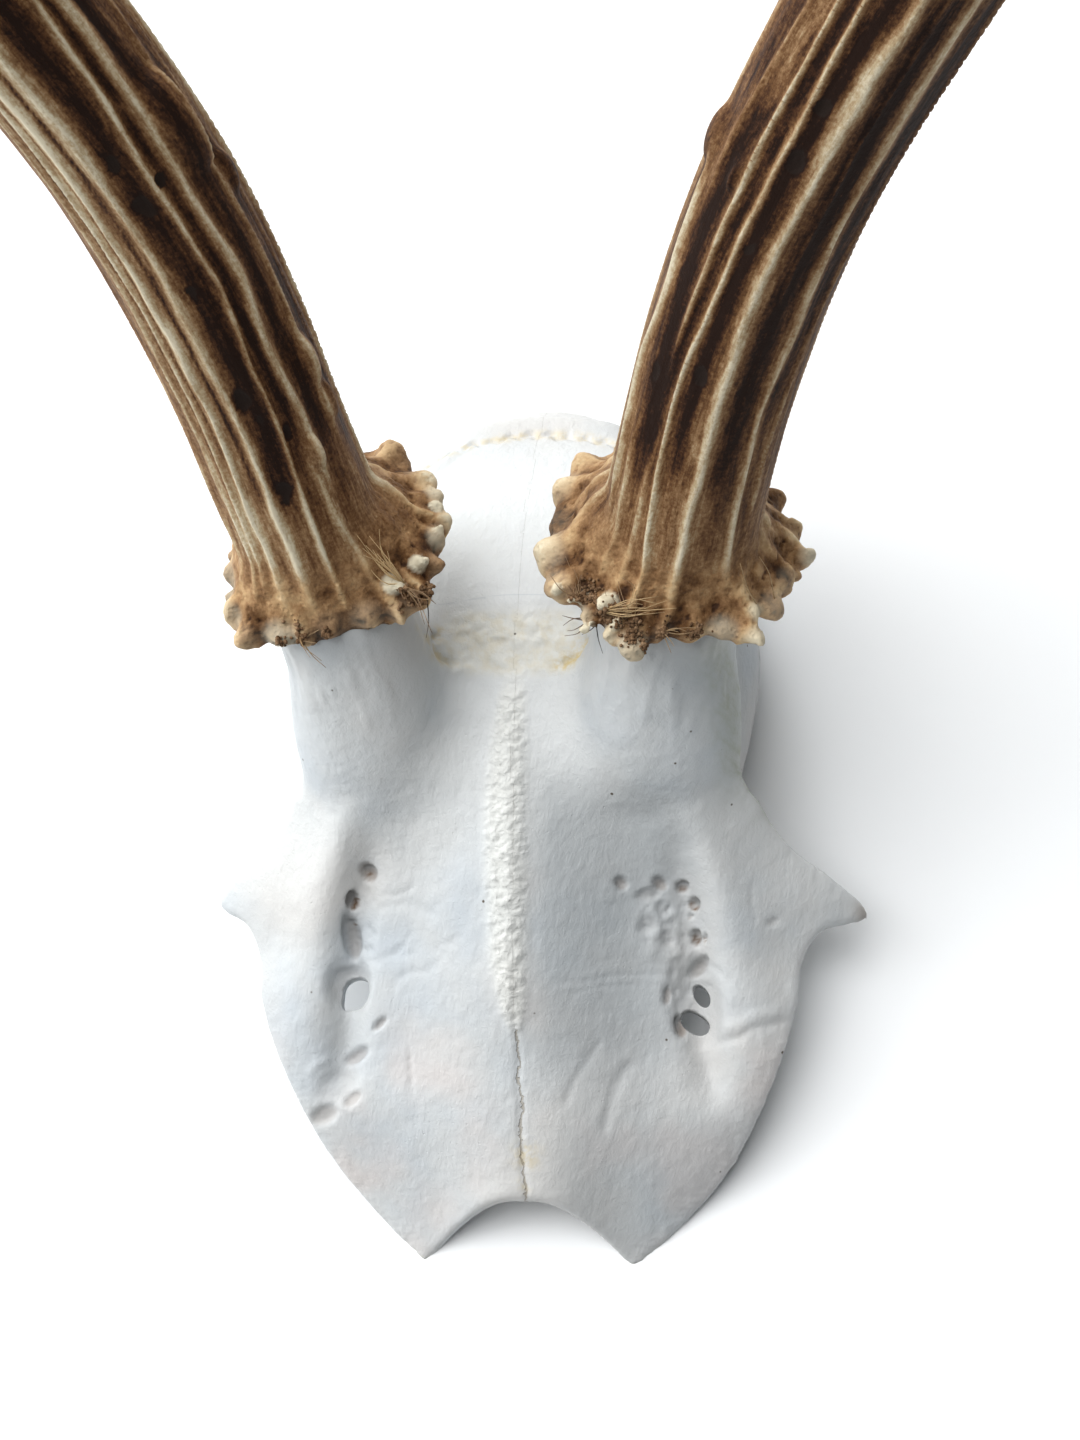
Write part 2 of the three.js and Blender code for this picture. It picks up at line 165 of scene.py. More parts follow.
def offStroke(points, x, y):  # distance in plan from a line of [x, y] points
    best = np.full(len(x), 1e9)
    for (ax, ay), (bx, by) in zip(points, points[1:]):
        dx, dy = bx - ax, by - ay
        t = np.clip(((x - ax) * dx + (y - ay) * dy) / (dx * dx + dy * dy), 0, 1)
        best = np.minimum(best, np.hypot(x - ax - t * dx, y - ay - t * dy))
    return best


# Grain
def scatter(ix, iy, iz, seed):
    n = (ix * 73856093) ^ (iy * 19349663) ^ (iz * 83492791) ^ (seed * 2654435761)
    n = (n ^ (n >> 13)) * 1274126177 & 0xffffffff
    n = (n ^ (n >> 16)) * 668265263 & 0xffffffff
    return ((n ^ (n >> 15)) & 0xffffff) / 0xffffff


def mottle(points, size, seed):  # soft noise from -1 to 1; size is the width of a patch
    p = points / size
    base = np.floor(p).astype(np.int64)
    f = p - base
    f = f * f * f * (f * (f * 6 - 15) + 10)
    total = np.zeros(len(points))
    for corner in range(8):
        d = np.array([corner & 1, corner >> 1 & 1, corner >> 2])
        weight = np.prod(np.where(d, f, 1 - f), axis=1)
        total += weight * scatter(*(base + d).T, seed)
    return total * 2 - 1


def layered(points, size, seed):  # three sizes of that noise over each other
    return sum(mottle(points, size / 2 ** i, seed + i) / 2 ** i for i in range(3)) / 1.6


def grains(points, size, seed):  # distance to the nearest and the second nearest grain centre
    p = points / size
    base = np.floor(p).astype(np.int64)
    near = np.full(len(points), 9.0)
    second = np.full(len(points), 9.0)
    for corner in range(27):
        cell = base + np.array([corner % 3, corner // 3 % 3, corner // 9]) - 1
        centre = cell + np.stack([scatter(*cell.T, seed + k) for k in range(3)], 1)
        gap = np.linalg.norm(p - centre, axis=1)
        second = np.minimum(second, np.maximum(near, gap))
        near = np.minimum(near, gap)
    return near, second


# Meshes
def readPlaces(bm):
    return np.array([v.co for v in bm.verts])


def movePlaces(bm, places):
    for v, place in zip(bm.verts, places):
        v.co = place


def drum(heights, around):  # closed drum of unit radius, spun from its outline
    bm = bmesh.new()
    outline = [(0, heights[0])] + [(1, height) for height in heights] + [(0, heights[-1])]
    points = [bm.verts.new((0, share, height)) for share, height in outline]
    edges = [bm.edges.new(pair) for pair in zip(points, points[1:])]
    bmesh.ops.spin(bm, geom=points + edges, cent=(0, 0, 0), axis=(0, 0, 1), angle=2 * math.pi,
                   steps=around, use_merge=True, use_duplicate=False)
    bmesh.ops.remove_doubles(bm, verts=bm.verts, dist=1e-5)
    return bm


def tubeAlong(course, radius, around, steps):
    bm = drum(np.linspace(0, course["length"], steps), around)
    x, y, at = readPlaces(bm).T
    angle = np.arctan2(x, y)
    movePlaces(bm, onTube(course, at, angle, np.hypot(x, y) * radius(at, angle)))
    bmesh.ops.recalc_face_normals(bm, faces=bm.faces)
    return bm


def slab(across, back, place):  # block whose upper and lower sides are laid out by place(u, v, w)
    bm = bmesh.new()
    bmesh.ops.create_grid(bm, x_segments=across, y_segments=back, size=1)
    made = bmesh.ops.extrude_face_region(bm, geom=bm.faces[:], use_keep_orig=True)["geom"]
    bmesh.ops.translate(bm, verts=[g for g in made if isinstance(g, bmesh.types.BMVert)], vec=(0, 0, -1))
    u, v, w = readPlaces(bm).T
    movePlaces(bm, place(u, (v + 1) / 2, w + 1))
    bmesh.ops.recalc_face_normals(bm, faces=bm.faces)
    return bm


def grain(size, stretch, turn, place, fine):  # small rounded grain, stretched and turned
    bm = bmesh.new()
    bmesh.ops.create_icosphere(bm, subdivisions=fine, radius=size)
    bmesh.ops.scale(bm, vec=stretch, verts=bm.verts)
    bmesh.ops.transform(bm, matrix=Matrix.Translation(place) @ turn.to_4x4(), verts=bm.verts)
    return bm


def joined(parts):
    whole = bmesh.new()
    for part in parts:
        mesh = bpy.data.meshes.new("part")
        part.to_mesh(mesh)
        part.free()
        whole.from_mesh(mesh)
        bpy.data.meshes.remove(mesh)
    return whole


def toMesh(bm, name="work"):
    mesh = bpy.data.meshes.new(name)
    bm.to_mesh(mesh)
    bm.free()
    return mesh


def withModifier(mesh, kind, settings):  # the mesh as one modifier leaves it
    thing = bpy.data.objects.new("work", mesh)
    bpy.context.scene.collection.objects.link(thing)
    modifier = thing.modifiers.new("work", kind)
    for key, value in settings.items():
        setattr(modifier, key, value)
    bpy.context.view_layer.update()
    made = bpy.data.meshes.new_from_object(thing.evaluated_get(bpy.context.evaluated_depsgraph_get()))
    bpy.data.objects.remove(thing)
    return made


def fused(mesh, voxel):
    return withModifier(mesh, "REMESH", {"mode": "VOXEL", "voxel_size": voxel, "adaptivity": 0})


def places(mesh):
    co = np.empty(len(mesh.vertices) * 3, np.float32)
    mesh.vertices.foreach_get("co", co)
    return co.reshape(-1, 3).astype(float)


def setPlaces(mesh, co):
    mesh.vertices.foreach_set("co", co.astype(np.float32).ravel())
    mesh.update()


def normals(mesh):
    n = np.empty(len(mesh.vertices) * 3, np.float32)
    mesh.vertex_normals.foreach_get("vector", n)
    return n.reshape(-1, 3).astype(float)


def relax(mesh, weight, rounds, fillOnly=0.0):
    # Evens a skin out. With fillOnly, hollows fill up while ridges move by that share less.
    weight = np.where(weight > 0.001, weight, 0)
    ends = np.empty(len(mesh.edges) * 2, np.int32)
    mesh.edges.foreach_get("vertices", ends)
    a, b = ends.reshape(-1, 2).T
    chosen = (weight[a] > 0) | (weight[b] > 0)
    a, b = a[chosen], b[chosen]
    count = len(mesh.vertices)
    degree = np.maximum(np.bincount(a, minlength=count) + np.bincount(b, minlength=count), 1)
    co = places(mesh)
    n = normals(mesh)
    for i in range(rounds):
        total = [np.bincount(a, co[b, k], count) + np.bincount(b, co[a, k], count) for k in range(3)]
        step = np.stack(total, 1) / degree[:, None] - co
        share = weight
        if fillOnly:
            share = weight * np.where((step * n).sum(1) > 0, 1, 1 - fillOnly)
        co = co + step * (0.5 * share)[:, None]
        if fillOnly and i % 20 == 19:
            setPlaces(mesh, co)
            n = normals(mesh)
    setPlaces(mesh, co)


def sliced(bm, place, normal):  # keeps the side that the normal points away from, and closes the cut
    everything = bm.verts[:] + bm.edges[:] + bm.faces[:]
    cut = bmesh.ops.bisect_plane(bm, geom=everything, dist=1e-5, plane_co=place, plane_no=normal,
                                 clear_outer=True)
    edges = [g for g in cut["geom_cut"] if isinstance(g, bmesh.types.BMEdge) and g.is_boundary]
    bmesh.ops.triangle_fill(bm, use_beauty=True, use_dissolve=False, edges=edges)
    for edge in edges:
        edge.smooth = False
    return bm


def addMeasure(mesh, name, values):
    layer = mesh.attributes.new(name, "FLOAT", "POINT")
    layer.data.foreach_set("value", np.asarray(values, np.float32))


def addDirection(mesh, name, values):
    layer = mesh.attributes.new(name, "FLOAT_VECTOR", "POINT")
    layer.data.foreach_set("vector", np.asarray(values, np.float32).ravel())


def shadeAsUncut(mesh):  # walls keep the uncut skin's normals, so that no line shows where it was parted
    way = np.empty(len(mesh.vertices) * 3, np.float32)
    mesh.attributes["skinWay"].data.foreach_get("vector", way)
    way = unit(way.reshape(-1, 3).astype(float))
    corners = np.empty(len(mesh.loops), np.int32)
    mesh.loops.foreach_get("vertex_index", corners)
    counts = np.empty(len(mesh.polygons), np.int32)
    mesh.polygons.foreach_get("loop_total", counts)
    flat = np.empty(len(mesh.polygons) * 3, np.float32)
    mesh.polygons.foreach_get("normal", flat)
    flat = np.repeat(flat.reshape(-1, 3), counts, axis=0)
    chosen = way[corners]
    chosen = np.where((chosen * flat).sum(1)[:, None] > 0.25, chosen, flat)
    mesh.normals_split_custom_set(chosen.tolist())
    mesh.attributes.remove(mesh.attributes["skinWay"])


def finishPiece(name, mesh, material, stands=()):
    setPlaces(mesh, (places(mesh) - restCentre) / 1000)
    mesh.polygons.foreach_set("use_smooth", np.ones(len(mesh.polygons), bool))
    if mesh.attributes.get("skinWay"):
        shadeAsUncut(mesh)
    mesh.name = name
    mesh.materials.clear()
    mesh.materials.append(material)
    piece = bpy.data.objects.new(name, mesh)
    bpy.context.scene.collection.objects.link(piece)
    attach(piece, "root")
    if stands:
        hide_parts(*stands)
    mesh.calc_loop_triangles()
    print(f"{name}: {len(mesh.loop_triangles)} triangles")
    return piece


# Materials
class Signal:  # one output of a node, used like a number
    def __init__(self, finish, socket):
        self.finish = finish
        self.socket = socket

    def math(self, operation, first, second):
        return self.finish.node("ShaderNodeMath", {"operation": operation}, {0: first, 1: second})

    def __add__(self, other):
        return self.math("ADD", self, other)

    def __radd__(self, other):
        return self.math("ADD", other, self)

    def __sub__(self, other):
        return self.math("SUBTRACT", self, other)

    def __rsub__(self, other):
        return self.math("SUBTRACT", other, self)

    def __mul__(self, other):
        return self.math("MULTIPLY", self, other)

    def __rmul__(self, other):
        return self.math("MULTIPLY", other, self)

    def ramp(self, low, high):  # 0 below low, 1 above high, smooth between
        return self.finish.node("ShaderNodeMapRange", {"interpolation_type": "SMOOTHSTEP"},
                                {"Value": self, "From Min": low, "From Max": high})


class Finish:  # one material with its principled shader
    def __init__(self, name):
        self.material = bpy.data.materials.new(name)
        self.material.use_nodes = True
        self.tree = self.material.node_tree
        self.shader = self.tree.nodes["Principled BSDF"]

    def node(self, kind, settings=None, inputs=None, output=0):
        made = self.tree.nodes.new(kind)
        for key, value in (settings or {}).items():
            if key == "stops":
                self.setStops(made.color_ramp, value)
            else:
                setattr(made, key, value)
        for key, value in (inputs or {}).items():
            self.feed(made.inputs[key], value)
        return Signal(self, made.outputs[output])

    def feed(self, socket, value):
        if isinstance(value, Signal):
            self.tree.links.new(value.socket, socket)
        elif isinstance(value, tuple) and socket.type == "RGBA" and len(value) == 3:
            socket.default_value = (*value, 1)
        else:
            socket.default_value = value

    def setStops(self, ramp, stops):
        while len(ramp.elements) < len(stops):
            ramp.elements.new(1)
        for element, (place, colour) in zip(ramp.elements, stops):
            element.position = place
            element.color = (*colour, 1)

    def measure(self, name):  # a number kept on the mesh
        return self.node("ShaderNodeAttribute", {"attribute_name": name}, output="Fac")

    def direction(self, name):
        return self.node("ShaderNodeAttribute", {"attribute_name": name}, output="Vector")

    def place(self):
        return self.node("ShaderNodeTexCoord", output="Object")

    def noise(self, vector, size, detail=3, rough=0.5):  # size in metres
        return self.node("ShaderNodeTexNoise", {"noise_dimensions": "3D"},
                         {"Vector": vector, "Scale": 1 / size, "Detail": detail, "Roughness": rough})

    def cells(self, vector, size, feature="F1"):
        return self.node("ShaderNodeTexVoronoi", {"feature": feature},
                         {"Vector": vector, "Scale": 1 / size})

    def stretched(self, vector, scale):
        return self.node("ShaderNodeVectorMath", {"operation": "MULTIPLY"}, {0: vector, 1: scale})

    def moved(self, vector, other, amount):  # shifts a vector by a colour or vector signal
        scaled = self.node("ShaderNodeVectorMath", {"operation": "SCALE"}, {0: other, "Scale": amount})
        return self.node("ShaderNodeVectorMath", {"operation": "ADD"}, {0: vector, 1: scaled})

    def colours(self, value, stops):
        return self.node("ShaderNodeValToRGB", {"stops": stops}, {"Fac": value})

    def mix(self, share, first, second):
        return self.node("ShaderNodeMix", {"data_type": "RGBA"}, {0: share, 6: first, 7: second}, output=2)

    def bump(self, height, strength, distance, under=None):
        inputs = {"Height": height, "Strength": strength, "Distance": distance}
        if under is not None:
            inputs["Normal"] = under
        return self.node("ShaderNodeBump", None, inputs)

    def set(self, **values):
        for key, value in values.items():
            self.feed(self.shader.inputs[key.replace("_", " ")], value)
        return self.material


boneColours = {
    "cloud": [(0.36, (0.495, 0.53, 0.56)), (0.5, (0.545, 0.56, 0.565)), (0.66, (0.58, 0.57, 0.555))],
    # the whitest tone below serves bleached bone and painted light on upward faces
    "white": (0.665, 0.675, 0.67), "pink": (0.61, 0.55, 0.525), "cream": (0.70, 0.69, 0.63),
    # the bluish dark tone on this line is the colour of the painted shade
    "yellow": (0.60, 0.49, 0.27), "grey": (0.37, 0.395, 0.41), "brown": (0.17, 0.10, 0.055),
    "green": (0.33, 0.345, 0.28), "speck": (0.10, 0.08, 0.06), "seam": (0.25, 0.20, 0.13),
}


def boneFinish():
    made = Finish("bleachedBone")
    colours = boneColours
    place = made.place()
    cloud = made.noise(place, 0.022, 3, 0.55)
    tint = made.colours(cloud, colours["cloud"])
    # upward faces of the back half and the crest made whiter: bleached bone, and painted light on the tops
    tint = made.mix(made.measure("white"), tint, colours["white"])
    tint = made.mix(made.measure("pink") * 0.7, tint, colours["pink"])
    tint = made.mix(made.measure("cream") * 0.85, tint, colours["cream"])
    blotch = made.noise(place, 0.0016, 3, 0.6).ramp(0.38, 0.66)
    tint = made.mix(made.measure("yellow") * blotch, tint, colours["yellow"])
    # painted shade: darkens the bone on one side of the forehead, the nose and the stalks' shaded sides
    tint = made.mix(made.measure("grey") * 0.6, tint, colours["grey"])
    tint = made.mix(made.measure("brown"), tint, colours["brown"])
    algae = made.noise(made.stretched(place, (1, 1, 0.3)), 0.0011, 4, 0.7).ramp(0.35, 0.75)
    tint = made.mix(made.measure("green") * (algae * 0.55 + 0.45), tint, colours["green"])
    speck = made.cells(place, 0.0052)
    tint = made.mix(1 - speck.ramp(0.025, 0.05), tint, colours["speck"])
    wander = made.noise(place, 0.0016, 2, 0.5)
    worm = made.cells(made.moved(place, wander, 0.0009), 0.00105, "DISTANCE_TO_EDGE")
    pore = made.cells(place, 0.00075)
    fine = made.noise(place, 0.0009, 4, 0.6)
    crease = made.noise(made.moved(made.stretched(place, (1, 0.45, 1)), wander, 0.0012), 0.0012, 4, 0.6)
    height = fine * 0.5 + made.noise(place, 0.0034, 3, 0.5) * 1.4 + crease.ramp(0.3, 0.75) * 0.5
    relief = made.bump(height, 0.6, 0.00019)
    pores = (1 - pore.ramp(0.05, 0.22)) * made.noise(place, 0.008, 1).ramp(0.5, 0.7)
    relief = made.bump(pores, 0.4, -0.0001, relief)
    relief = made.bump(worm.ramp(0.02, 0.40) * made.measure("crest"), 0.5, 0.00014, relief)
    jag = made.noise(place, 0.0011, 3, 0.6)
    off = (made.measure("seamOff") - 0.5) * 6 + (jag - 0.5) * 1.3  # millimetres beside the seam
    shut = (off * off).ramp(0.004, 0.035)
    tint = made.mix((1 - shut) * 0.55, tint, colours["seam"])
    relief = made.bump(shut, 0.7, 0.0002, relief)
    rough = made.noise(place, 0.004, 2) * 0.2 + 0.46
    return made.set(Base_Color=tint, Roughness=rough, Normal=relief, Specular_IOR_Level=0.42)


antlerColours = {
    "shaft": [(0.06, (0.015, 0.005, 0.002)), (0.20, (0.055, 0.021, 0.008)), (0.36, (0.150, 0.070, 0.027)),
              (0.52, (0.290, 0.168, 0.080)), (0.68, (0.460, 0.345, 0.205)), (0.88, (0.69, 0.61, 0.45))],
    "ruff": [(0.14, (0.040, 0.016, 0.006)), (0.30, (0.14, 0.066, 0.025)), (0.46, (0.31, 0.175, 0.080)),
             (0.64, (0.50, 0.325, 0.165)), (0.82, (0.63, 0.465, 0.270)), (0.96, (0.74, 0.64, 0.46))],
    "ivory": (0.72, 0.66, 0.50), "dirt": (0.018, 0.010, 0.007),
}


def antlerFinish(name):
    made = Finish(name)
    grainWay = made.direction("grainWay")
    place = made.place()
    relief = made.measure("relief")
    burr = made.measure("burr")
    streak = made.noise(made.stretched(grainWay, (1, 1, 0.16)), 0.0007, 4, 0.7)
    broad = made.noise(made.stretched(grainWay, (1, 1, 0.07)), 0.0030, 3, 0.55)
    fleck = made.noise(place, 0.0005, 3, 0.7)
    level = relief + (streak - 0.5) * 0.75 + (broad - 0.5) * 0.55 + (fleck - 0.5) * 0.5
    shaft = made.colours(level, antlerColours["shaft"])
    mottled = made.noise(place, 0.0030, 4, 0.6)
    ruffLevel = relief + (mottled - 0.5) * 0.7 + (fleck - 0.5) * 0.3
    ruff = made.colours(ruffLevel, antlerColours["ruff"])
    colour = made.mix(burr, shaft, ruff)
    colour = made.mix(made.measure("ivory"), colour, antlerColours["ivory"])
    dirt = (made.measure("dirt") + (fleck - 0.5) * 1.2 * made.measure("dirt")).ramp(0.35, 0.8)
    colour = made.mix(dirt, colour, antlerColours["dirt"])
    pore = made.noise(place, 0.0007, 4, 0.7)
    pit = made.cells(place, 0.00085).ramp(0.12, 0.45)
    normal = made.bump(streak * 0.7 + pore * 0.7 + pit * burr * 0.5, 0.75, 0.00025)
    rough = 0.66 - relief * 0.16 + pore * 0.12
    return made.set(Base_Color=colour, Roughness=rough, Normal=normal, Specular_IOR_Level=0.16)


# Forehead plate, in millimetres
forehead = {
    "nasion": 4.6, "rear": 77, "thickness": 3.2, "edgeThickness": 1.9,
    "midline": [[-4, 5.4], [4.6, 8.9], [15, 13.2], [30, 19.2], [46.8, 25.5], [60, 29.8], [71.6, 32.6],
                [80, 33.4], [90, 31.2], [100, 25.8], [106, 21.9], [110, 18.8], [113, 16.6], [116, 13.8]],
    "sideEdge": [[13.9, -2.8], [18, 0.9], [22.6, 5.4], [26.8, 10.3], [30.4, 16.2], [33.8, 23.8],
                 [35.8, 30.6],
                 [36.4, 35.8], [38.4, 39.8], [43.8, 42.9], [40.4, 46.8], [34.8, 50.3], [31, 54.6], [28, 60],
                 [26, 66], [21, 72]],
    "process": {"x": 43.8, "y": 42.9, "width": 4, "left": 1.2, "right": -1},
    "lean": {"shift": 0.6, "from": 32, "to": 8},
    "crossfall": [[-3, 0.0085], [5, 0.0087], [9.5, 0.0072], [18.5, 0.0054], [30, 0.0057], [36, 0.0069],
                  [44, 0.007], [55, 0.0085], [70, 0.0075], [80, 0.007]],
    "brow": {"line": [[18, 58], [24, 47], [28, 36], [31, 22]], "width": 4.6,
             "height": [[20, 0.7], [34, 1.0], [45, 2.2], [60, 2.4]]},
    "groove": {"line": [[20.6, 47], [22.4, 38], [23.2, 29], [24.4, 20]], "depth": 2.3, "width": 2.3},
    "nasalPoint": {"dip": 4.2, "reach": 11, "start": 18},
    "valley": {"at": 16.5, "width": 9, "left": 3.7, "right": 2.3, "from": [4, 26], "to": [52, 72]},
    "foot": {"x": 21, "y": 62.3, "ring": 5.3, "width": 16, "height": 8.2},
    "spineRise": 1.3,
}
edgeLine = smoothLine([[x, y, 0] for x, y in forehead["sideEdge"]])


def offLine(line, x, y):
    ordered = sorted([py, px] for px, py in line)
    first, last = ordered[0][0], ordered[-1][0]
    fade = ease(y, first - 5, first + 3) * (1 - ease(y, last - 3, last + 6))
    return np.abs(x) - along(ordered, y), fade


def foreheadHeight(x, y):
    half = np.abs(x)
    browOff, browFade = offLine(forehead["brow"]["line"], x, y)
    grooveOff, grooveFade = offLine(forehead["groove"]["line"], x, y)
    point = forehead["nasalPoint"]
    dip = point["dip"] * ease(half, 2, 2 + point["reach"]) * (1 - ease(y, -3, point["start"]))
    valley = forehead["valley"]
    depth = np.where(x > 0, valley["left"], valley["right"])
    length = ease(y, *valley["from"]) * (1 - ease(y, *valley["to"]))
    dip = dip + depth * bell(half - valley["at"], valley["width"]) * length
    foot = forehead["foot"]
    away = np.hypot(half - foot["x"], y - foot["y"])
    # the forehead curves up into the stalks
    climb = np.clip(1 - (away - foot["ring"]) / foot["width"], 0, 1) ** 2
    dip = dip - foot["height"] * climb * ease((foot["y"] - y) / (away + 0.01), 0.05, 0.6)
    return (along(forehead["midline"], y) - along(forehead["crossfall"], y) * half * half - dip
            + along(forehead["brow"]["height"], y) * bell(browOff, forehead["brow"]["width"]) * browFade
            - forehead["groove"]["depth"] * bell(grooveOff, forehead["groove"]["width"]) * grooveFade)


def foreheadPlan(across, back):
    share = np.linspace(0, 1, len(edgeLine))
    edgeX, edgeY = np.interp(back, share, edgeLine[:, 0]), np.interp(back, share, edgeLine[:, 1])
    tip = forehead["process"]
    reach = np.where(across > 0, tip["left"], tip["right"])
    edgeX = edgeX + reach * bell(np.hypot(edgeX - tip["x"], edgeY - tip["y"]), tip["width"])
    middle = blend(forehead["nasion"], forehead["rear"], back ** 0.85)
    s = np.abs(across)
    notchArch = 2.7 * s * (1 - s) * (1 - ease(back, 0, 0.35))
    y = blend(middle, edgeY, s ** 1.6) + notchArch
    lean = forehead["lean"]["shift"] * (1 - ease(y, forehead["lean"]["to"], forehead["lean"]["from"]))
    return across * edgeX, y, lean


def platePart():
    def place(u, v, w):
        x, y, lean = foreheadPlan(u, v)
        depth = blend(forehead["thickness"], forehead["edgeThickness"], np.abs(u) ** 3)
        return np.stack([x + lean, y, foreheadHeight(x, y) - (1 - w) * depth], 1)
    return slab(150, 120, place)


# Walls between the orbits, braincase and pedicles
ethmoid = {
    "halfWidth": [[7, 8.5], [12, 12], [20, 14.6], [32, 15.8], [43, 18], [51, 22.4], [62, 26]],
    "from": 8, "to": 62, "wall": 2.2, "roof": 4.6, "chamberTo": 49,
}
braincase = {
    "from": 51, "to": 115.8, "widest": 8,
    "halfWidth": [[51, 21], [56, 25.2], [62, 27.6], [70, 29.4], [79, 30.4], [88, 29.2], [97, 26],
                  [103, 23], [108, 18.6], [112, 13.8], [115.8, 7]],
    "squareness": [[51, 2], [80, 2.1], [97, 2.3], [108, 2.7], [116, 3]],
    "sunk": [[51, 4], [66, 1.2], [74, 0.3], [80, 0]],
    "wall": 3.2, "chamberFrom": 58, "chamberTo": 110.5,
}
pedicle = {
    "radius": 9.1, "elevation": 58, "azimuth": 17, "flareFrom": 13, "flareTo": 25, "flare": 1.4,
    "taper": 14, "cutAt": 14.5, "foot": [-2.4, -23, -32.5], "fillet": 220, "filletReach": 8,
}
antlers = {
    "left": {
        "side": 1, "foot": [20.9, 76.2, 47.5], "girth": 1,
        "closeIn": [[0, 0.4], [40, 0.5], [70, 0.1], [120, 0]],
        "centre": [20.3, 79.3, 47.9], "azimuth": 21.5, "elevation": 69.3, "scale": 1.04,
    },
    "right": {
        "side": -1, "foot": [22.4, 76.2, 47.5], "girth": 0.99,
        "closeIn": [[0, 0], [20, 0], [37, 1.5], [59, 3.2], [80, 4.4]],
        "centre": [22.9, 78.7, 47.9], "azimuth": 23.5, "elevation": 72.1, "scale": 1.02,
    },
}


def ethmoidPart(inset, roof, to):
    def place(u, v, w):
        y = blend(ethmoid["from"] + inset, to, v)
        x = u * (along(ethmoid["halfWidth"], y) - inset)
        return np.stack([x, y, np.where(w > 0.5, foreheadHeight(x, y) - roof, -5)], 1)
    return slab(24, 40, place)


def braincasePart(start, end, inset):
    bm = drum(np.linspace(0, 1, 60), 120)
    a, b, v = readPlaces(bm).T
    b = -b
    y = start + (end - start) * np.sin(v * math.pi / 2) ** 0.9
    roof = along(forehead["midline"], y) - along(braincase["sunk"], y) - inset
    half = along(braincase["halfWidth"], y) - inset
    power = 2 / along(braincase["squareness"], y)
    square = lambda value: np.sign(value) * np.abs(value) ** power
    rise = np.where(b < 0, roof - braincase["widest"], braincase["widest"] + 12)
    movePlaces(bm, np.stack([half * square(a), y, braincase["widest"] - rise * square(b)], 1))
    bmesh.ops.recalc_face_normals(bm, faces=bm.faces)
    return bm


def axisOf(azimuth, elevation, side):
    out, up = math.radians(azimuth), math.radians(elevation)
    return np.array([side * math.cos(up) * math.sin(out), math.cos(up) * math.cos(out), math.sin(up)])


def mirrored(point, side):
    return np.array([side * point[0], point[1], point[2]])


def pedicleCourse(antler):
    foot = mirrored(antler["foot"], antler["side"])
    axis = axisOf(pedicle["azimuth"], pedicle["elevation"], antler["side"])
    start = foot + mirrored(pedicle["foot"], antler["side"])
    return courseThrough([start, foot - axis * pedicle["cutAt"], foot, foot + axis * 4])


def pediclePart(antler):
    course = pedicleCourse(antler)

    def radius(at, angle):
        flare = pedicle["flare"] * ease(course["length"] - at, pedicle["flareFrom"], pedicle["flareTo"])
        taper = 0.55 + 0.45 * ease(at, 0, pedicle["taper"])
        return (pedicle["radius"] + flare * np.abs(np.sin(angle))) * taper
    centre, axis = coronetAxis(antler)
    return sliced(tubeAlong(course, radius, 72, 60), centre - axis, axis)


# Through holes: centre, radii, turn in degrees, and a bulge of the rim: its direction, reach and spread.
foramina = [
    {"at": (-22.4, 30.6), "radii": (1.95, 2.1), "turn": 0, "bulge": (-132, 0.75, 24)},
    {"at": (23.3, 31.2), "radii": (0.95, 1.65), "turn": 32, "bulge": (0, 0, 30)},
    {"at": (22.5, 27.7), "radii": (2.0, 1.35), "turn": -24, "bulge": (140, 0.35, 40)},
]


def foramenParts():
    parts = []
    for hole in foramina:
        bm = bmesh.new()
        bmesh.ops.create_cone(bm, cap_ends=True, segments=48, radius1=1, radius2=1, depth=24)
        x, y, z = readPlaces(bm).T
        x, y = x * hole["radii"][0], y * hole["radii"][1]
        way, reach, spread = hole["bulge"]
        grow = 1 + reach / 2 * bell(wrapped(np.arctan2(y, x) - math.radians(way)), math.radians(spread))
        turn = math.radians(hole["turn"])
        across = (x * math.cos(turn) - y * math.sin(turn)) * grow + hole["at"][0]
        back = (x * math.sin(turn) + y * math.cos(turn)) * grow + hole["at"][1]
        movePlaces(bm, np.stack([across, back, z + 14], 1))
        parts.append(bm)
    return parts


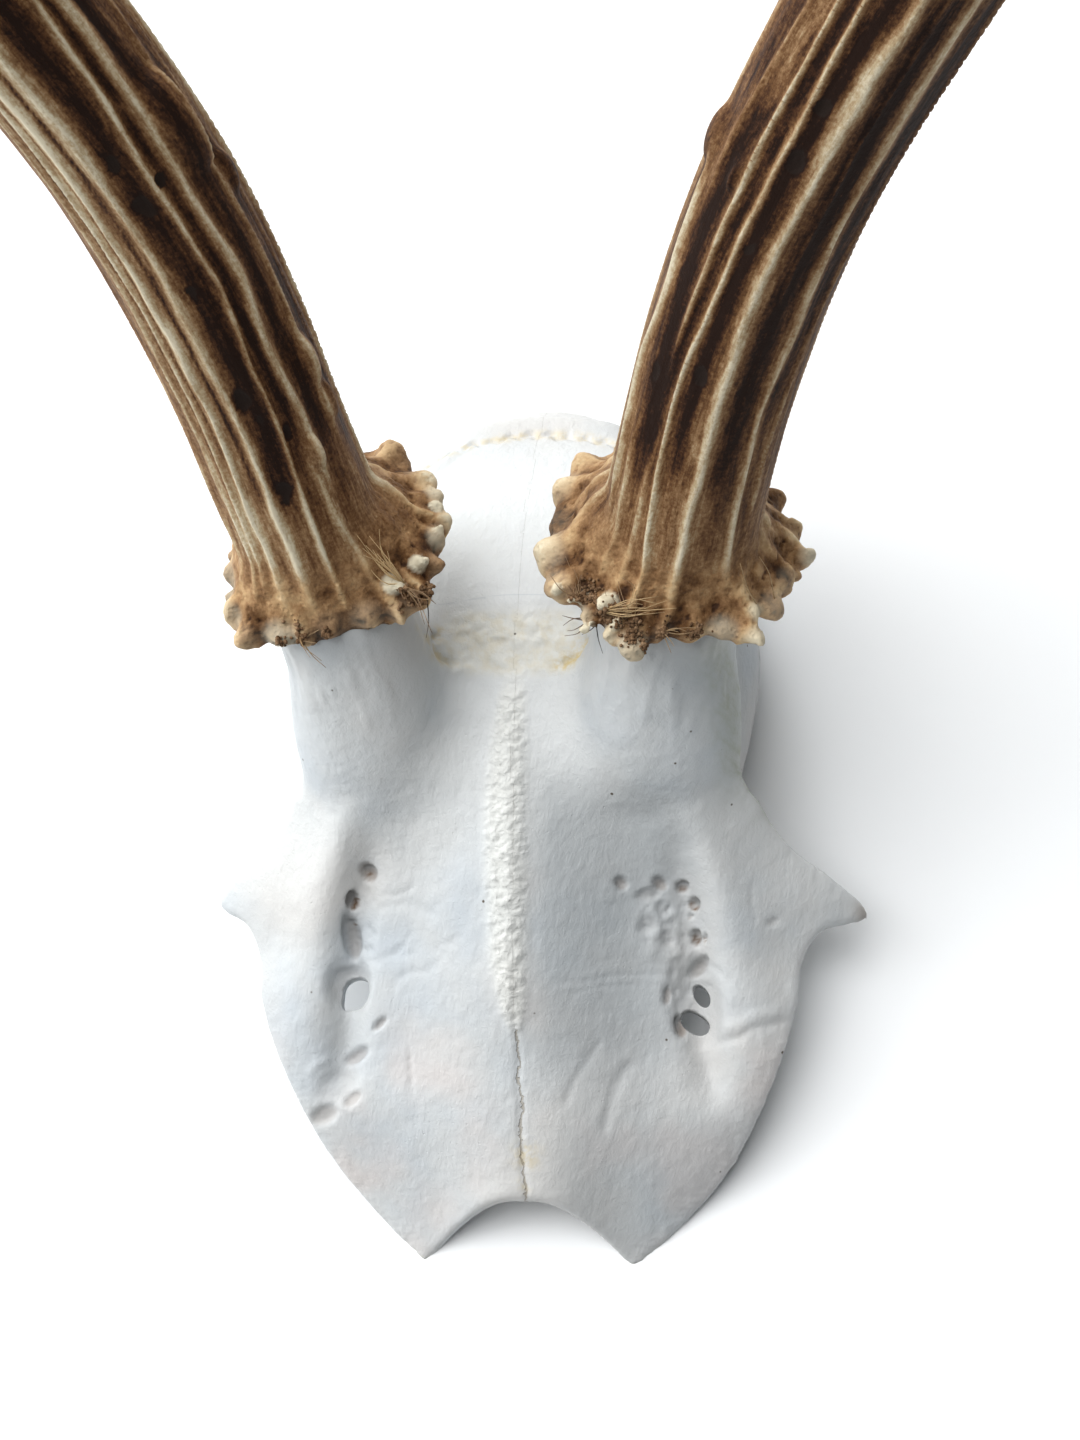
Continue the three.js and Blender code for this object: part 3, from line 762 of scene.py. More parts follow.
# Marks of the bone
crest = {  # the raised, granular seam between the two frontal bones
    "line": [[20, 0.1], [24.5, -0.3], [28.7, -0.7], [33.5, -1.2], [40.7, -1.4], [50.4, -1.6], [57.8, -1.3],
             [66.5, -0.8], [72, -0.6]],
    "halfWidth": [[24, 0.5], [28, 1.6], [36, 2.3], [48, 2.5], [58, 2.2], [66, 1.5], [70, 0.8]],
    "from": 22, "to": 71, "height": 0.28, "grain": 1.0, "grainHeight": 0.42,
}
seam = [(0.9, 4.6), (0.7, 8), (0.2, 13), (0.5, 16), (0.0, 19), (0.2, 21.5), (-0.2, 24.5), (-0.6, 28)]
grooves = [  # depth, half width, line
    (0.28, 0.40, seam),
    (0.30, 0.32, [(-18.2, 42.3), (-16.6, 42.2), (-15.3, 42.5), (-14.1, 43.2)]),
    (0.24, 0.50, [(-20, 37.8), (-19.8, 39.6), (-19, 40.7), (-17.6, 41), (-15.5, 41.1), (-14, 40.9),
                  (-13, 40.1), (-11.5, 39.6)]),
    (0.24, 0.45, [(-17, 30.9), (-16, 32.1), (-14.5, 32.6), (-12.5, 32.6), (-10.8, 33.5), (-10, 34.6),
                  (-11, 35.1), (-10.5, 35.7), (-9, 35.8), (-7.7, 36.6)]),
    (0.20, 0.35, [(-16.8, 35), (-15.5, 36.1), (-14.5, 37.2)]),
    (0.18, 0.35, [(-15.8, 34.7), (-14.3, 34.9), (-13.8, 36)]),
    (0.22, 0.45, [(-19.4, 34), (-18.1, 34.8), (-16.8, 35), (-16.2, 35.4)]),
    (0.30, 0.40, [(10.2, 24), (8.4, 21.2), (6.9, 18.7), (6.2, 16.5)]),
    (0.45, 0.55, [(14, 21.7), (12.3, 18.9), (11.1, 14)]),
    (0.20, 0.28, [(5.5, 31.1), (9, 31.6), (12.6, 32.8), (18.2, 33.3)]),
    (0.15, 0.25, [(6.9, 29.8), (10.2, 31.1), (15.4, 31.8)]),
    (0.30, 0.30, [(23.8, 35.2), (25.5, 33.9), (27, 32.3)]),
    (0.35, 0.40, [(25.8, 25), (28.2, 25.4), (29.8, 26.6), (32.2, 27.1), (34.5, 28)]),
    (0.25, 0.30, [(30, 44.1), (29.9, 42.2), (30.4, 40)]),
    (0.25, 0.35, [(19.6, 35.1), (19.8, 32), (20.5, 29.4)]),
    (0.7, 0.55, [(-10.9, 73.2), (-11.1, 71.4), (-10.2, 70.0), (-8.6, 69.6)]),
    (0.6, 0.55, [(8.4, 72.6), (7.6, 70.6), (5.6, 69.6)]),
]
ridges = [  # height, half width, line
    (0.45, 0.50, [(-24.6, 33.6), (-23.3, 34), (-21.9, 35.2)]),
    (0.30, 0.50, [(-28.4, 20.3), (-27.1, 21.4), (-26.2, 21.9)]),
    (0.35, 0.45, [(19.4, 35.4), (20.4, 36.2), (22.1, 36.6)]),
    (0.40, 0.45, [(21.4, 35.6), (22.1, 34), (23.9, 32.9)]),
    (0.35, 0.70, [(26.4, 26.6), (28.6, 27), (30.4, 28.2), (33, 28.9)]),
    (0.30, 0.80, [(16.2, 41), (17.4, 38.6), (17, 36)]),
    (0.30, 0.60, [(-11.6, 70.4), (-9.2, 68.8), (-7, 68.9)]),
]
dents = [  # x, y, radii, turn, depth, how much brown gathers in it
    (-20.5, 45.2, 1.2, 1.0, -35, 1.1, 0.5), (-20.7, 45.3, 0.45, 0.4, 0, 1.0, 1.0),
    (-22.7, 41.8, 0.75, 1.15, -15, 2.4, 1.0), (-23.0, 37.4, 1.1, 2.9, 8, 1.7, 0.32),
    (-22.6, 39.2, 0.3, 0.3, 0, 0.8, 0.8), (-23.3, 31.2, 3.0, 3.4, 0, 0.9, 0.12),
    (-18.9, 26.3, 0.5, 1.3, -50, 0.6, 0.3), (-22.2, 22.5, 1.9, 0.9, 25, 0.8, 0.28),
    (-22.6, 17.0, 1.5, 0.8, 35, 0.6, 0.25), (-26.6, 15.0, 2.2, 1.2, 20, 0.7, 0.25),
    (-24.6, 18.6, 3.2, 2.2, 30, 0.5, 0.05), (-14.6, 20.5, 0.4, 3.5, 5, 0.22, 0.05),
    (13.0, 44.0, 0.9, 0.8, -40, 0.8, 0.35), (18.0, 44.4, 1.0, 0.8, -30, 0.9, 0.4),
    (20.8, 44.2, 0.8, 0.7, 0, 1.2, 0.7), (22.4, 42.1, 0.6, 0.8, 30, 1.8, 1.0),
    (22.0, 40.8, 0.25, 0.3, 0, 0.7, 0.7), (22.6, 38.2, 0.65, 0.95, 10, 1.6, 0.8),
    (23.8, 37.9, 0.3, 0.55, 0, 0.9, 0.6), (22.9, 34.6, 0.9, 1.6, -38, 1.3, 0.3),
    (18.9, 30.7, 0.5, 1.3, -5, 0.9, 0.35), (20.7, 27.0, 0.85, 1.4, 8, 1.7, 0.55),
    (16.6, 43.0, 1.9, 0.8, 15, 0.5, 0.1), (16.4, 39.2, 1.4, 1.1, 40, 0.4, 0.05),
    (18.4, 41.3, 1.0, 0.9, 0, 0.45, 0.05), (18.9, 37.8, 0.9, 1.2, 0, 0.4, 0.05),
    (32.6, 40.2, 0.9, 0.5, 20, 0.35, 0.1), (22.6, 29.6, 3.6, 5.6, 12, 0.8, 0.06),
]
pittedFields = [(17.6, 40.2, 3.4, 5.2), (20.6, 36.6, 2.4, 8.5), (-20.8, 38.6, 2.2, 5.5)]  # x, y, radii
marks = {  # how strongly the marks above are cut
    "vaultFrom": 60,  # marks that start behind this lie on the vault's edge, not on the forehead plate
    "softGroove": 0.55, "softRidge": 0.7, "pitHeight": 0.26, "pitSize": 1.35,
    "swell": 0.16, "swellSize": 9, "ripple": 0.05, "rippleSize": 1.6,
}
bregma = {  # the patch of fine cells where the frontal bones meet the vault
    "middle": -1.4, "halfWidth": (7, 10.5), "front": (67.5, 70), "rear": (75, 78.5), "above": (27, 30),
    "cell": 2.1, "height": 0.20, "sink": 0.14,
}
sideEdgeComb = {"width": 2.6, "until": (27, 33), "pitch": 7.5, "depth": 0.035, "sink": 0.08}
vault = {
    "lambdoid": 109.6, "lambdoidBend": 0.018, "lambdoidDepth": 0.55, "lambdoidWidth": 0.45,
    "nuchal": 112.2, "nuchalBend": 0.012, "nuchalHeight": 1.1, "nuchalWidth": 1.7,
    "knob": 9, "knobHeight": 0.9, "knobWidth": 3.2,
    "temporalLine": [[78, 25.5], [86, 23.5], [95, 19.5], [104, 14], [110, 9]], "temporalHeight": 0.5,
    "templeSeam": 7.5, "templeDepth": 0.45,
}


def dentShare(x, y, dent):
    cx, cy, rx, ry, turn = dent[:5]
    a = math.radians(turn)
    dx, dy = x - cx, y - cy
    return np.hypot((dx * math.cos(a) + dy * math.sin(a)) / rx, (dy * math.cos(a) - dx * math.sin(a)) / ry)


def crestShare(x, y):
    half = along(crest["halfWidth"], y)
    off = np.abs(x - along(crest["line"], y))
    length = ease(y, crest["from"], crest["from"] + 6) * (1 - ease(y, crest["to"] - 6, crest["to"]))
    return (1 - ease(off, half * 0.5, half * 1.5)) * length


def bregmaShare(x, y, z):
    wide = 1 - ease(np.abs(x - bregma["middle"]), *bregma["halfWidth"])
    return wide * ease(y, *bregma["front"]) * (1 - ease(y, *bregma["rear"])) * ease(z, *bregma["above"])


def strayed(flat, size, amount, seed):  # points pushed sideways, so that grains lose their even rows
    push = np.stack([mottle(flat, size, seed), mottle(flat, size, seed + 1), 0 * flat[:, 2]], 1)
    return flat + amount * push


def crestRise(x, y, flat, near):
    share = crestShare(x, y) * near
    f1, f2 = grains(strayed(flat, 1.1, 0.5, 21) * np.array([1, 1.25, 1]), crest["grain"], 5)
    worms = ease(f2 - f1, 0.03, 0.4) * 0.7 + 0.3 * (1 - f1)
    ragged = ease(share + 0.35 * mottle(flat, 1.0, 23), 0.25, 0.75)
    return share * crest["height"] + ragged * crest["grainHeight"] * (worms - 0.4)


def bregmaRise(x, y, z, flat, outer):
    f1, f2 = grains(strayed(flat, 1.7, 0.7, 31), bregma["cell"], 6)
    cells = bregma["height"] * ease(f2 - f1, 0.02, 0.4) - bregma["sink"]
    return bregmaShare(x, y, z) * outer * cells


def markRise(x, y, flat, near, outer):  # grooves, ridges, dents and pitted fields
    rise = np.zeros(len(x))
    for depth, width, line in grooves:
        behind = line[0][1] > marks["vaultFrom"]
        shift = 0.18 * mottle(flat, 0.9, 41) if line is seam else 0
        soft = 1 if line is seam or behind else marks["softGroove"]
        cutIn = bell(offStroke(line, x + shift, y), width * (1.7 - 0.7 * soft))
        rise -= soft * depth * cutIn * (outer if behind else near)
    for height, width, line in ridges:
        behind = line[0][1] > marks["vaultFrom"]
        raised = bell(offStroke(line, x, y), width * 1.2)
        rise += marks["softRidge"] * height * raised * (outer if behind else near)
    for dent in dents:
        rise -= dent[5] * (1 - ease(dentShare(x, y, dent), 0.45, 1.25)) * near
    f1, __ = grains(flat + 0.4 * mottle(flat, 1.1, 26)[:, None], marks["pitSize"], 8)
    pits = 1 - ease(f1, 0.15, 0.6)
    for cx, cy, rx, ry in pittedFields:
        field = 1 - ease(np.hypot((x - cx) / rx, (y - cy) / ry) + 0.3 * mottle(flat, 1.5, 25), 0.4, 1.1)
        rise -= field * near * marks["pitHeight"] * pits
    return rise


def combRise(x, y, flat, near):  # rough cut of the lacrimal seam along both side edges
    comb = sideEdgeComb
    edgeX = np.interp(y, edgeLine[:420, 1], edgeLine[:420, 0])
    margin = bell(edgeX - np.abs(x), comb["width"]) * (1 - ease(y, *comb["until"])) * near
    teeth = comb["depth"] * np.sin(y * comb["pitch"] + 2 * mottle(flat, 2.2, 51))
    return margin * (teeth - comb["sink"] + comb["sink"] * mottle(flat, 1.1, 52))


def vaultRise(co):
    x, y, z = co.T
    # lambdoid seam and the nuchal crest behind it
    wave = 0.55 * mottle(co, 1.6, 61) + 0.35 * np.sin(x * 2.3)
    lambdoid = y - (vault["lambdoid"] - vault["lambdoidBend"] * x * x + wave)
    rise = -vault["lambdoidDepth"] * bell(lambdoid, vault["lambdoidWidth"]) * ease(z, 3, 8)
    nuchal = bell(y - (vault["nuchal"] - vault["nuchalBend"] * x * x), vault["nuchalWidth"])
    rise += vault["nuchalHeight"] * nuchal * ease(z, 4, 10) * (1 - ease(np.abs(x), 9, 14))
    knob = bell(np.hypot(x, (z - vault["knob"]) * 0.6), vault["knobWidth"])
    rise += vault["knobHeight"] * knob * ease(y, 110, 114)
    # temporal lines from the pedicles back to the crest, and the scaly seam of the temple
    sweep = bell(np.abs(x) - along(vault["temporalLine"], y), 1.1)
    rise += vault["temporalHeight"] * sweep * ease(y, 78, 83) * (1 - ease(y, 106, 110)) * ease(z, 8, 14)
    wave = 2.2 * np.sin((y - 66) / 12) + 0.6 * np.sin(y * 1.9) + 0.5 * mottle(co, 1.5, 71)
    temple = bell(z - (vault["templeSeam"] + wave), 0.4)
    length = ease(y, 66, 70) * (1 - ease(y, 100, 106))
    return rise - vault["templeDepth"] * temple * length * ease(np.abs(x), 14, 18)


def boneRise(co, n):  # how far the detail stands off the plain skin
    x, y, z = co.T
    up = ease(n[:, 2], 0.12, 0.5)
    roof = foreheadHeight(x, y)
    near = ease(z, roof - 2.2, roof - 1.2) * up
    outer = up * ease(z, 1, 4)
    flat = co * np.array([1, 1, 0])
    spine = np.exp(-np.abs(x + 1) / 4.5) * ease(y, 20, 32) * (1 - ease(y, 58, 70))
    rise = marks["swell"] * layered(co, marks["swellSize"], 3) * outer
    rise += marks["ripple"] * layered(co, marks["rippleSize"], 9) * ease(z, 0.5, 2)
    rise += forehead["spineRise"] * spine * near
    rise += crestRise(x, y, flat, near)
    rise += bregmaRise(x, y, z, flat, outer)
    rise += markRise(x, y, flat, near, outer)
    rise += combRise(x, y, flat, near)
    return rise + vaultRise(co)


def pedicleRise(co, antler):  # long fine wrinkles that run up the stalk
    course = pedicleCourse(antler)
    at, angle, reach = nearestOn(course, co)
    length = ease(at, 16, 26) * (1 - ease(at, course["length"] + 1, course["length"] + 3))
    near = (1 - ease(reach, 12.5, 17)) * length
    way = np.stack([np.sin(angle) * 9, np.cos(angle) * 9, at * 0.22 + antler["side"] * 40], 1)
    wave = 0.26 * mottle(way, 1.9, 81) + 0.16 * mottle(way, 0.95, 82)
    return near * wave * ease(np.maximum(wave, -0.1), -0.3, 0.3)


algaeLine = [(27.5, 66), (28.4, 60), (30, 53)]
creaseStains = [[(-10.9, 73.6), (-11.1, 71.4), (-10.2, 70.0)], [(8.6, 73), (7.6, 70.6), (5.6, 69.6)]]


def stainOf(x, y, z):  # yellow in the deep seams and round the crystals at the nose end
    creases = sum(bell(offStroke(line, x, y), 0.9) for line in creaseStains)
    lambdoid = bell(y - (vault["lambdoid"] - vault["lambdoidBend"] * x * x), 1.0) * ease(z, 5, 9)
    crystals = bell(np.hypot(x - 1.1, y - 10), 1.6) + 0.6 * bell(np.hypot(x - 0.8, y - 6.5), 0.9)
    return creases * 1.4 + bregmaShare(x, y, z) * 0.28 + lambdoid * 0.6 + crystals * 0.8


def paintedShadeOf(x, y, z):  # painted shade: the bone is darkened on one side of the forehead and nose and on the stalks' shaded sides
    middle = ease(x, 1, 5) * (1 - ease(x, 17, 25)) * ease(y, 14, 26) * (1 - ease(y, 50, 60))
    nose = ease(x, 2, 9) * (1 - ease(y, 12, 26))
    stalk = (ease(x, 14, 24) * 0.8 + bell(x + 12, 4.5) * 0.7) * ease(y, 57, 64) * (1 - ease(y, 72, 76))
    return middle + nose * 0.7 + stalk * ease(z, 20, 26)


def seamDistance(x, y, z):  # sideways distance from the nasal seam, 0.5 on it and 1 at 3 mm from it
    rows = sorted([back, across] for across, back in seam)
    apart = (x - along(rows, y)) / 6 + 0.5
    return np.where((y > 25) | (z < 2), np.where(apart > 0.5, 1, 0), np.clip(apart, 0, 1))


def paintBone(mesh):
    co = places(mesh)
    upward = normals(mesh)[:, 2]
    x, y, z = co.T
    up = ease(upward, 0.0, 0.4)
    roof = foreheadHeight(x, y)
    near = ease(z, roof - 4.5, roof - 3) * (upward > -0.3)
    sawn = z < 0.05
    brown = np.zeros(len(co))
    for dent in dents:
        brown = np.maximum(brown, dent[6] * (1 - ease(dentShare(x, y, dent), 0.55, 1.15)))
    processTip = bell(np.hypot(x - 44.6, (y - 42.9) * 0.7), 1.3) * 0.5
    # upward-facing bone behind the brow made whiter: partly bleaching, partly painted light where the lamps
    # fall on the tops
    white = ease(y, 40, 56) * ease(upward, 0.3, 0.9) * (1 - ease(y, 98, 110))
    cream = crestShare(x, y) * 0.5 + bregmaShare(x, y, z) * 0.9 + sawn * 0.9
    shares = {
        "crest": crestShare(x, y) * up,
        "white": np.clip(white * 0.9 + crestShare(x, y) * 0.4, 0, 1),
        "cream": np.clip(cream, 0, 1) * (up + sawn),
        "yellow": np.clip(stainOf(x, y, z), 0, 1) * up,
        "pink": (1 - ease(y, 16, 33)) * ease(layered(co, 11, 15), -0.25, 0.5) * up,
        "brown": np.clip(brown * near + processTip, 0, 1),
        "green": bell(offStroke(algaeLine, x, y), 3.4) * ease(z, 12, 20) * (1 - ease(upward, 0.3, 0.8)),
        # painted shade on one side of the forehead, the nose and the stalks
        "grey": np.clip(paintedShadeOf(x, y, z), 0, 1) * up,
        "seamOff": seamDistance(x, y, z),
    }
    for name, values in shares.items():
        addMeasure(mesh, name, values)


def buildSkull():
    coarse, fineVoxel = ((0.7, 0.4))
    parts = [platePart(), ethmoidPart(0, 1.2, ethmoid["to"])]
    parts.append(braincasePart(braincase["from"], braincase["to"], 0))
    parts += [pediclePart(antler) for antler in antlers.values()]
    skin = fused(toMesh(joined(parts)), coarse)
    print(f"skull roughed out: {len(skin.vertices)} points")
    co = places(skin)
    weight = np.zeros(len(co))
    for antler in antlers.values():
        course = pedicleCourse(antler)
        at, __, reach = nearestOn(course, co)
        close = 1 - ease(reach, 11 + pedicle["filletReach"] * 0.4, 11 + pedicle["filletReach"] * 1.6)
        below = 1 - ease(at, course["length"] - 13, course["length"] - 7)
        weight = np.maximum(weight, close * ease(at, 6, 14) * below)
    seamBack = bell(co[:, 1] - 74, 7) * ease(co[:, 2], 10, 16)
    weight = np.maximum(weight, seamBack * 0.8)
    weight *= ease(co[:, 2], 3, 7)
    relax(skin, weight, pedicle["fillet"], fillOnly=0.8)
    skin = fused(skin, fineVoxel)
    relax(skin, np.full(len(skin.vertices), 0.9), 3)
    co, n = places(skin), normals(skin)
    rise = boneRise(co, n)
    for antler in antlers.values():
        rise = rise + pedicleRise(co, antler)
    setPlaces(skin, co + n * rise[:, None])
    bm = bmesh.new()
    bm.from_mesh(skin)
    skin = toMesh(sliced(bm, (0, 0, 0), (0, 0, -1)))
    print(f"skull marked: {len(skin.vertices)} points")
    hollow = [ethmoidPart(ethmoid["wall"], ethmoid["roof"], ethmoid["chamberTo"]),
              braincasePart(braincase["chamberFrom"], braincase["chamberTo"], braincase["wall"])]
    cutter = bpy.data.objects.new("hollow", toMesh(joined(hollow + foramenParts())))
    bpy.context.scene.collection.objects.link(cutter)
    skin = withModifier(skin, "BOOLEAN", {"operation": "DIFFERENCE", "solver": "EXACT", "object": cutter})
    bpy.data.objects.remove(cutter)
    print(f"skull hollowed: {len(skin.polygons)} faces")
    return skin


partings = {  # planes between the bones: a point on each and its normal
    "midline": ((0.95, 5, 0), (1, 0.043, 0)),
    "coronal": ((0, 79, 33), (0, 0.86, -0.51)),
    "lambdoid": ((0, 108.9, 0), (0, 1, 0)),
}


def halfOf(mesh, cuts):
    bm = bmesh.new()
    bm.from_mesh(mesh)
    for name, keepBelow in cuts:
        place, normal = partings[name]
        sliced(bm, place, normal if keepBelow else tuple(-k for k in normal))
    return toMesh(bm)


def dressSkull():
    whole = buildSkull()
    upright = (places(whole)[:, 2] > 0.05)[:, None] | np.array([True, True, False])
    addDirection(whole, "skinWay", normals(whole) * upright)
    bone = boneFinish()
    pieces = [
        ("frontalRight", [("coronal", True), ("midline", True)], ("frontal_right", "pedicle_right")),
        ("frontalLeft", [("coronal", True), ("midline", False)], ("frontal_left", "pedicle_left")),
        ("parietalVault", [("coronal", False), ("lambdoid", True)], ("parietal",)),
        ("occipitalBone", [("coronal", False), ("lambdoid", False)], ("occipital",)),
    ]
    for name, cuts, nodes in pieces:
        mesh = halfOf(whole, cuts)
        paintBone(mesh)
        finishPiece(name, mesh, bone, nodes)


# Antlers
beamShape = {
    "spine": [[0, 0, 0], [3.5, 8.6, 14.3], [7.9, 16.5, 28.6], [13.5, 24, 42.7], [20.3, 30.7, 56.7],
              [28.1, 36.2, 70.6], [35.7, 40.6, 84.9], [42.1, 44.2, 99.7], [46.7, 48.2, 115.1],
              [48.7, 52.4, 130.7], [48.1, 55.2, 146.5], [45.5, 56, 161.7], [41.7, 54.8, 175.5]],
    "radius": [[0, 10], [10, 9.8], [25, 9.6], [50, 9.8], [75, 10], [100, 10.2], [114, 9.8],
               [135, 8.2], [152, 7.3], [170, 5.6], [184, 3.8], [192, 2.1], [196.8, 0.5]],
    "parting": 107, "furrowDepth": 0.55,
}
tines = {
    "front": {"root": 110, "points": [[2, -9, 9], [4.2, -20, 21], [5, -28.5, 35], [3.4, -33, 50]],
              "radius": [[0, 8], [12, 6.9], [30, 5.4], [45, 3.8], [55, 2.1], [61.5, 0.5]]},
    "rear": {"root": 147, "points": [[3, 10, 4], [5.4, 20.5, 11], [6.2, 29, 21], [5, 34, 32]],
             "radius": [[0, 7], [10, 6.2], [24, 4.7], [36, 3.3], [44, 1.9], [49.4, 0.5]]},
}
coronetShape = {
    # the stem inside the ruff, and the share of its reach at each height
    "profile": [[0, 9.6], [2, 10.0], [6, 9.8], [11, 9.2], [13.5, 7.5], [15.6, 4]],
    "shelf": [[0, 0.02], [1.2, 0.3], [2.4, 0.78], [3.4, 0.98], [4.6, 1], [5.6, 0.88], [6.8, 0.60],
              [8.4, 0.36], [10.4, 0.20], [12.8, 0.09], [15.6, 0]],
    # from its middle: where its tube starts, where it is cut off from the beam, and where its tube ends
    "below": 4.6, "top": 7.2, "flare": 11,
}
# Long ridges of each antler: height, half width, and [length along the beam, degrees from front to +X].
beamRidges = {
    "right": [
        (0.95, 0.52, [(96, 58), (80, 52), (70, 46), (60, 41), (50, 41), (45, 42), (40, 39), (34, 36),
                      (25, 35), (16, 33), (7, 31)]),
        (0.85, 0.85, [(96, 72), (75, 66), (66, 60), (56, 58), (50, 58), (45, 61), (40, 55), (34, 53),
                      (28, 56), (23, 56)]),
        (0.85, 1.05, [(96, 16), (78, 14), (60, 12), (50, 12), (40, 10), (30, 10), (20, 10), (7, 10)]),
        (0.80, 1.00, [(90, -5), (72, -6), (60, -8), (40, -8), (30, -8), (20, -10), (7, -11)]),
        (0.55, 0.55, [(85, -19), (70, -21), (50, -22), (30, -21), (10, -24)]),
        (0.50, 0.70, [(85, -34), (50, -35), (20, -34), (8, -32)]),
        (0.60, 0.55, [(75, 96), (66, 88), (60, 84), (52, 86), (40, 84), (28, 80)]),
        (0.55, 0.60, [(18, 50), (12, 52), (6, 56)]),
        (0.45, 0.60, [(95, 106), (60, 104), (30, 102)]),
        (0.50, 0.90, [(90, -56), (50, -60), (20, -52), (6, -48)]),
    ],
    "left": [
        (0.95, 0.46, [(96, -56), (78, -52), (70, -51), (60, -51), (50, -50), (42, -50)]),
        (0.95, 0.52, [(96, -40), (80, -38), (70, -36), (65, -34), (50, -35), (40, -36), (30, -39),
                      (20, -36), (10, -32), (6, -30)]),
        (0.90, 1.00, [(96, -12), (80, -11), (60, -11), (45, -12), (35, -9), (20, -7), (6, -6)]),
        (0.75, 1.05, [(96, 20), (75, 24), (60, 26), (50, 26), (40, 28), (30, 26), (20, 30), (8, 32)]),
        (0.70, 0.90, [(54, -86), (45, -81), (38, -79), (28, -85), (18, -78)]),
        (0.45, 0.50, [(76, -70), (66, -72), (60, -74)]),
        (0.45, 0.55, [(90, 50), (60, 52), (40, 48), (20, 46)]),
        (0.40, 0.40, [(90, 4), (60, 6), (50, 6)]),
        (0.50, 0.60, [(20, -66), (13, -64), (6, -60)]),
        (0.50, 0.60, [(16, -46), (6, -45)]),
        (0.60, 1.00, [(90, 74), (50, 76), (22, 72), (8, 78)]),
    ],
}
# Where the colour is lighter or darker than the relief alone makes it: amount, half width, line as above.
beamShades = {
    "right": [
        (-0.32, 1.35, [(96, 40), (80, 34), (60, 29), (45, 28), (30, 25), (17, 22)]),
        (-0.24, 0.55, [(90, 62), (75, 57), (60, 49), (50, 49), (38, 46), (27, 46)]),
        (-0.26, 1.10, [(90, 84), (70, 73), (50, 74), (35, 68), (23, 68)]),
        (0.24, 4.20, [(90, -12), (50, -15), (10, -15)]),
        (-0.34, 0.30, [(78, 4), (60, 3), (45, 1), (30, 1), (20, 2)]),
        (-0.26, 0.24, [(75, -15), (55, -15), (40, -17), (25, -16)]),
        (-0.24, 0.20, [(70, -27), (40, -28), (20, -27)]),
        (-0.16, 1.60, [(75, 98), (20, 96)]),
        (0.14, 0.70, [(16, 30), (8, 28)]),
    ],
    "left": [
        (-0.32, 1.50, [(64, -64), (50, -64), (40, -62), (28, -56), (20, -52)]),
        (-0.26, 0.60, [(80, -45), (60, -43), (50, -43), (40, -44), (30, -46)]),
        (-0.32, 0.85, [(82, -25), (65, -27), (50, -27), (35, -27), (22, -26)]),
        (-0.30, 1.60, [(84, 6), (60, 9), (45, 9), (30, 10), (20, 10)]),
        (-0.24, 1.20, [(84, 40), (50, 40), (30, 37)]),
        (0.20, 1.40, [(52, -84), (40, -80), (30, -84), (22, -78)]),
        (-0.10, 1.20, [(84, -74), (66, -78)]),
        (0.16, 0.70, [(74, -17), (64, -17)]),
        (0.16, 0.60, [(29, -17), (24, -17)]),
        (0.14, 1.00, [(16, -64), (9, -62)]),
    ],
}
ridgeReach = 9.8  # the beams' radius, at which the half widths of the lines above are measured
strandPitch = 0.07  # how much slower the grain changes along a branch than round it
smoothing = {  # where a raw antler is evened out: place along the beam, and width
    "frontFork": (116, 12), "rearFork": (152, 10), "foot": (6, 4), "overRuff": (11, 6), "crown": (120, 130),
}
# Where each thing of an antler's skin starts and ends: along the beam or a tine, over the coronet's middle,
# or out from it. The last row is how far each stands out.
antlerSkin = {
    "crownRidges": (88, 112), "beamTip": (165, 190), "tineTip": (30, 48), "meeting": (0, 2.4),
    "burr": (4.5, 9.5), "ruff": (4.5, 9), "frill": (11.2, 13.5), "ribsFrom": (10.8, 13), "ribsTo": (15.6,
                                                                                                    17),
    "ribs": 0.75, "grit": 0.30, "knolls": 0.5, "holes": 0.22,
}
beamSpots = {  # dark pits on the beams: length, degrees, radius, depth
    "right": [
        (57, 27, 1.2, 0.4), (63, 27, 0.9, 0.3), (31, 19, 1.1, 0.5), (28, 25, 0.9, 0.4),
        (18, 22, 1.1, 0.5), (25, 41, 0.7, 0.4), (58, 45, 0.6, 0.3), (46, 24, 0.7, 0.2),
    ],
    "left": [
        (61, -26, 1.1, 0.4), (68, -26, 0.8, 0.3), (33, -25, 1.0, 0.4), (50, -28, 0.7, 0.2),
        (30, -62, 0.8, 0.3),
    ],
}
beamBumps = {  # raised pearls: length, degrees, size
    "right": [
        (62, 80, 4.2), (31, 84, 2.2), (92, -175, 2.6), (25, 88, 1.8), (54, 97, 1.9), (21, 56, 1.3),
    ],
    "left": [
        (57, -95, 2.4), (88, 185, 2.6), (30, 140, 2.3), (56, -59, 1.2),
    ],
}
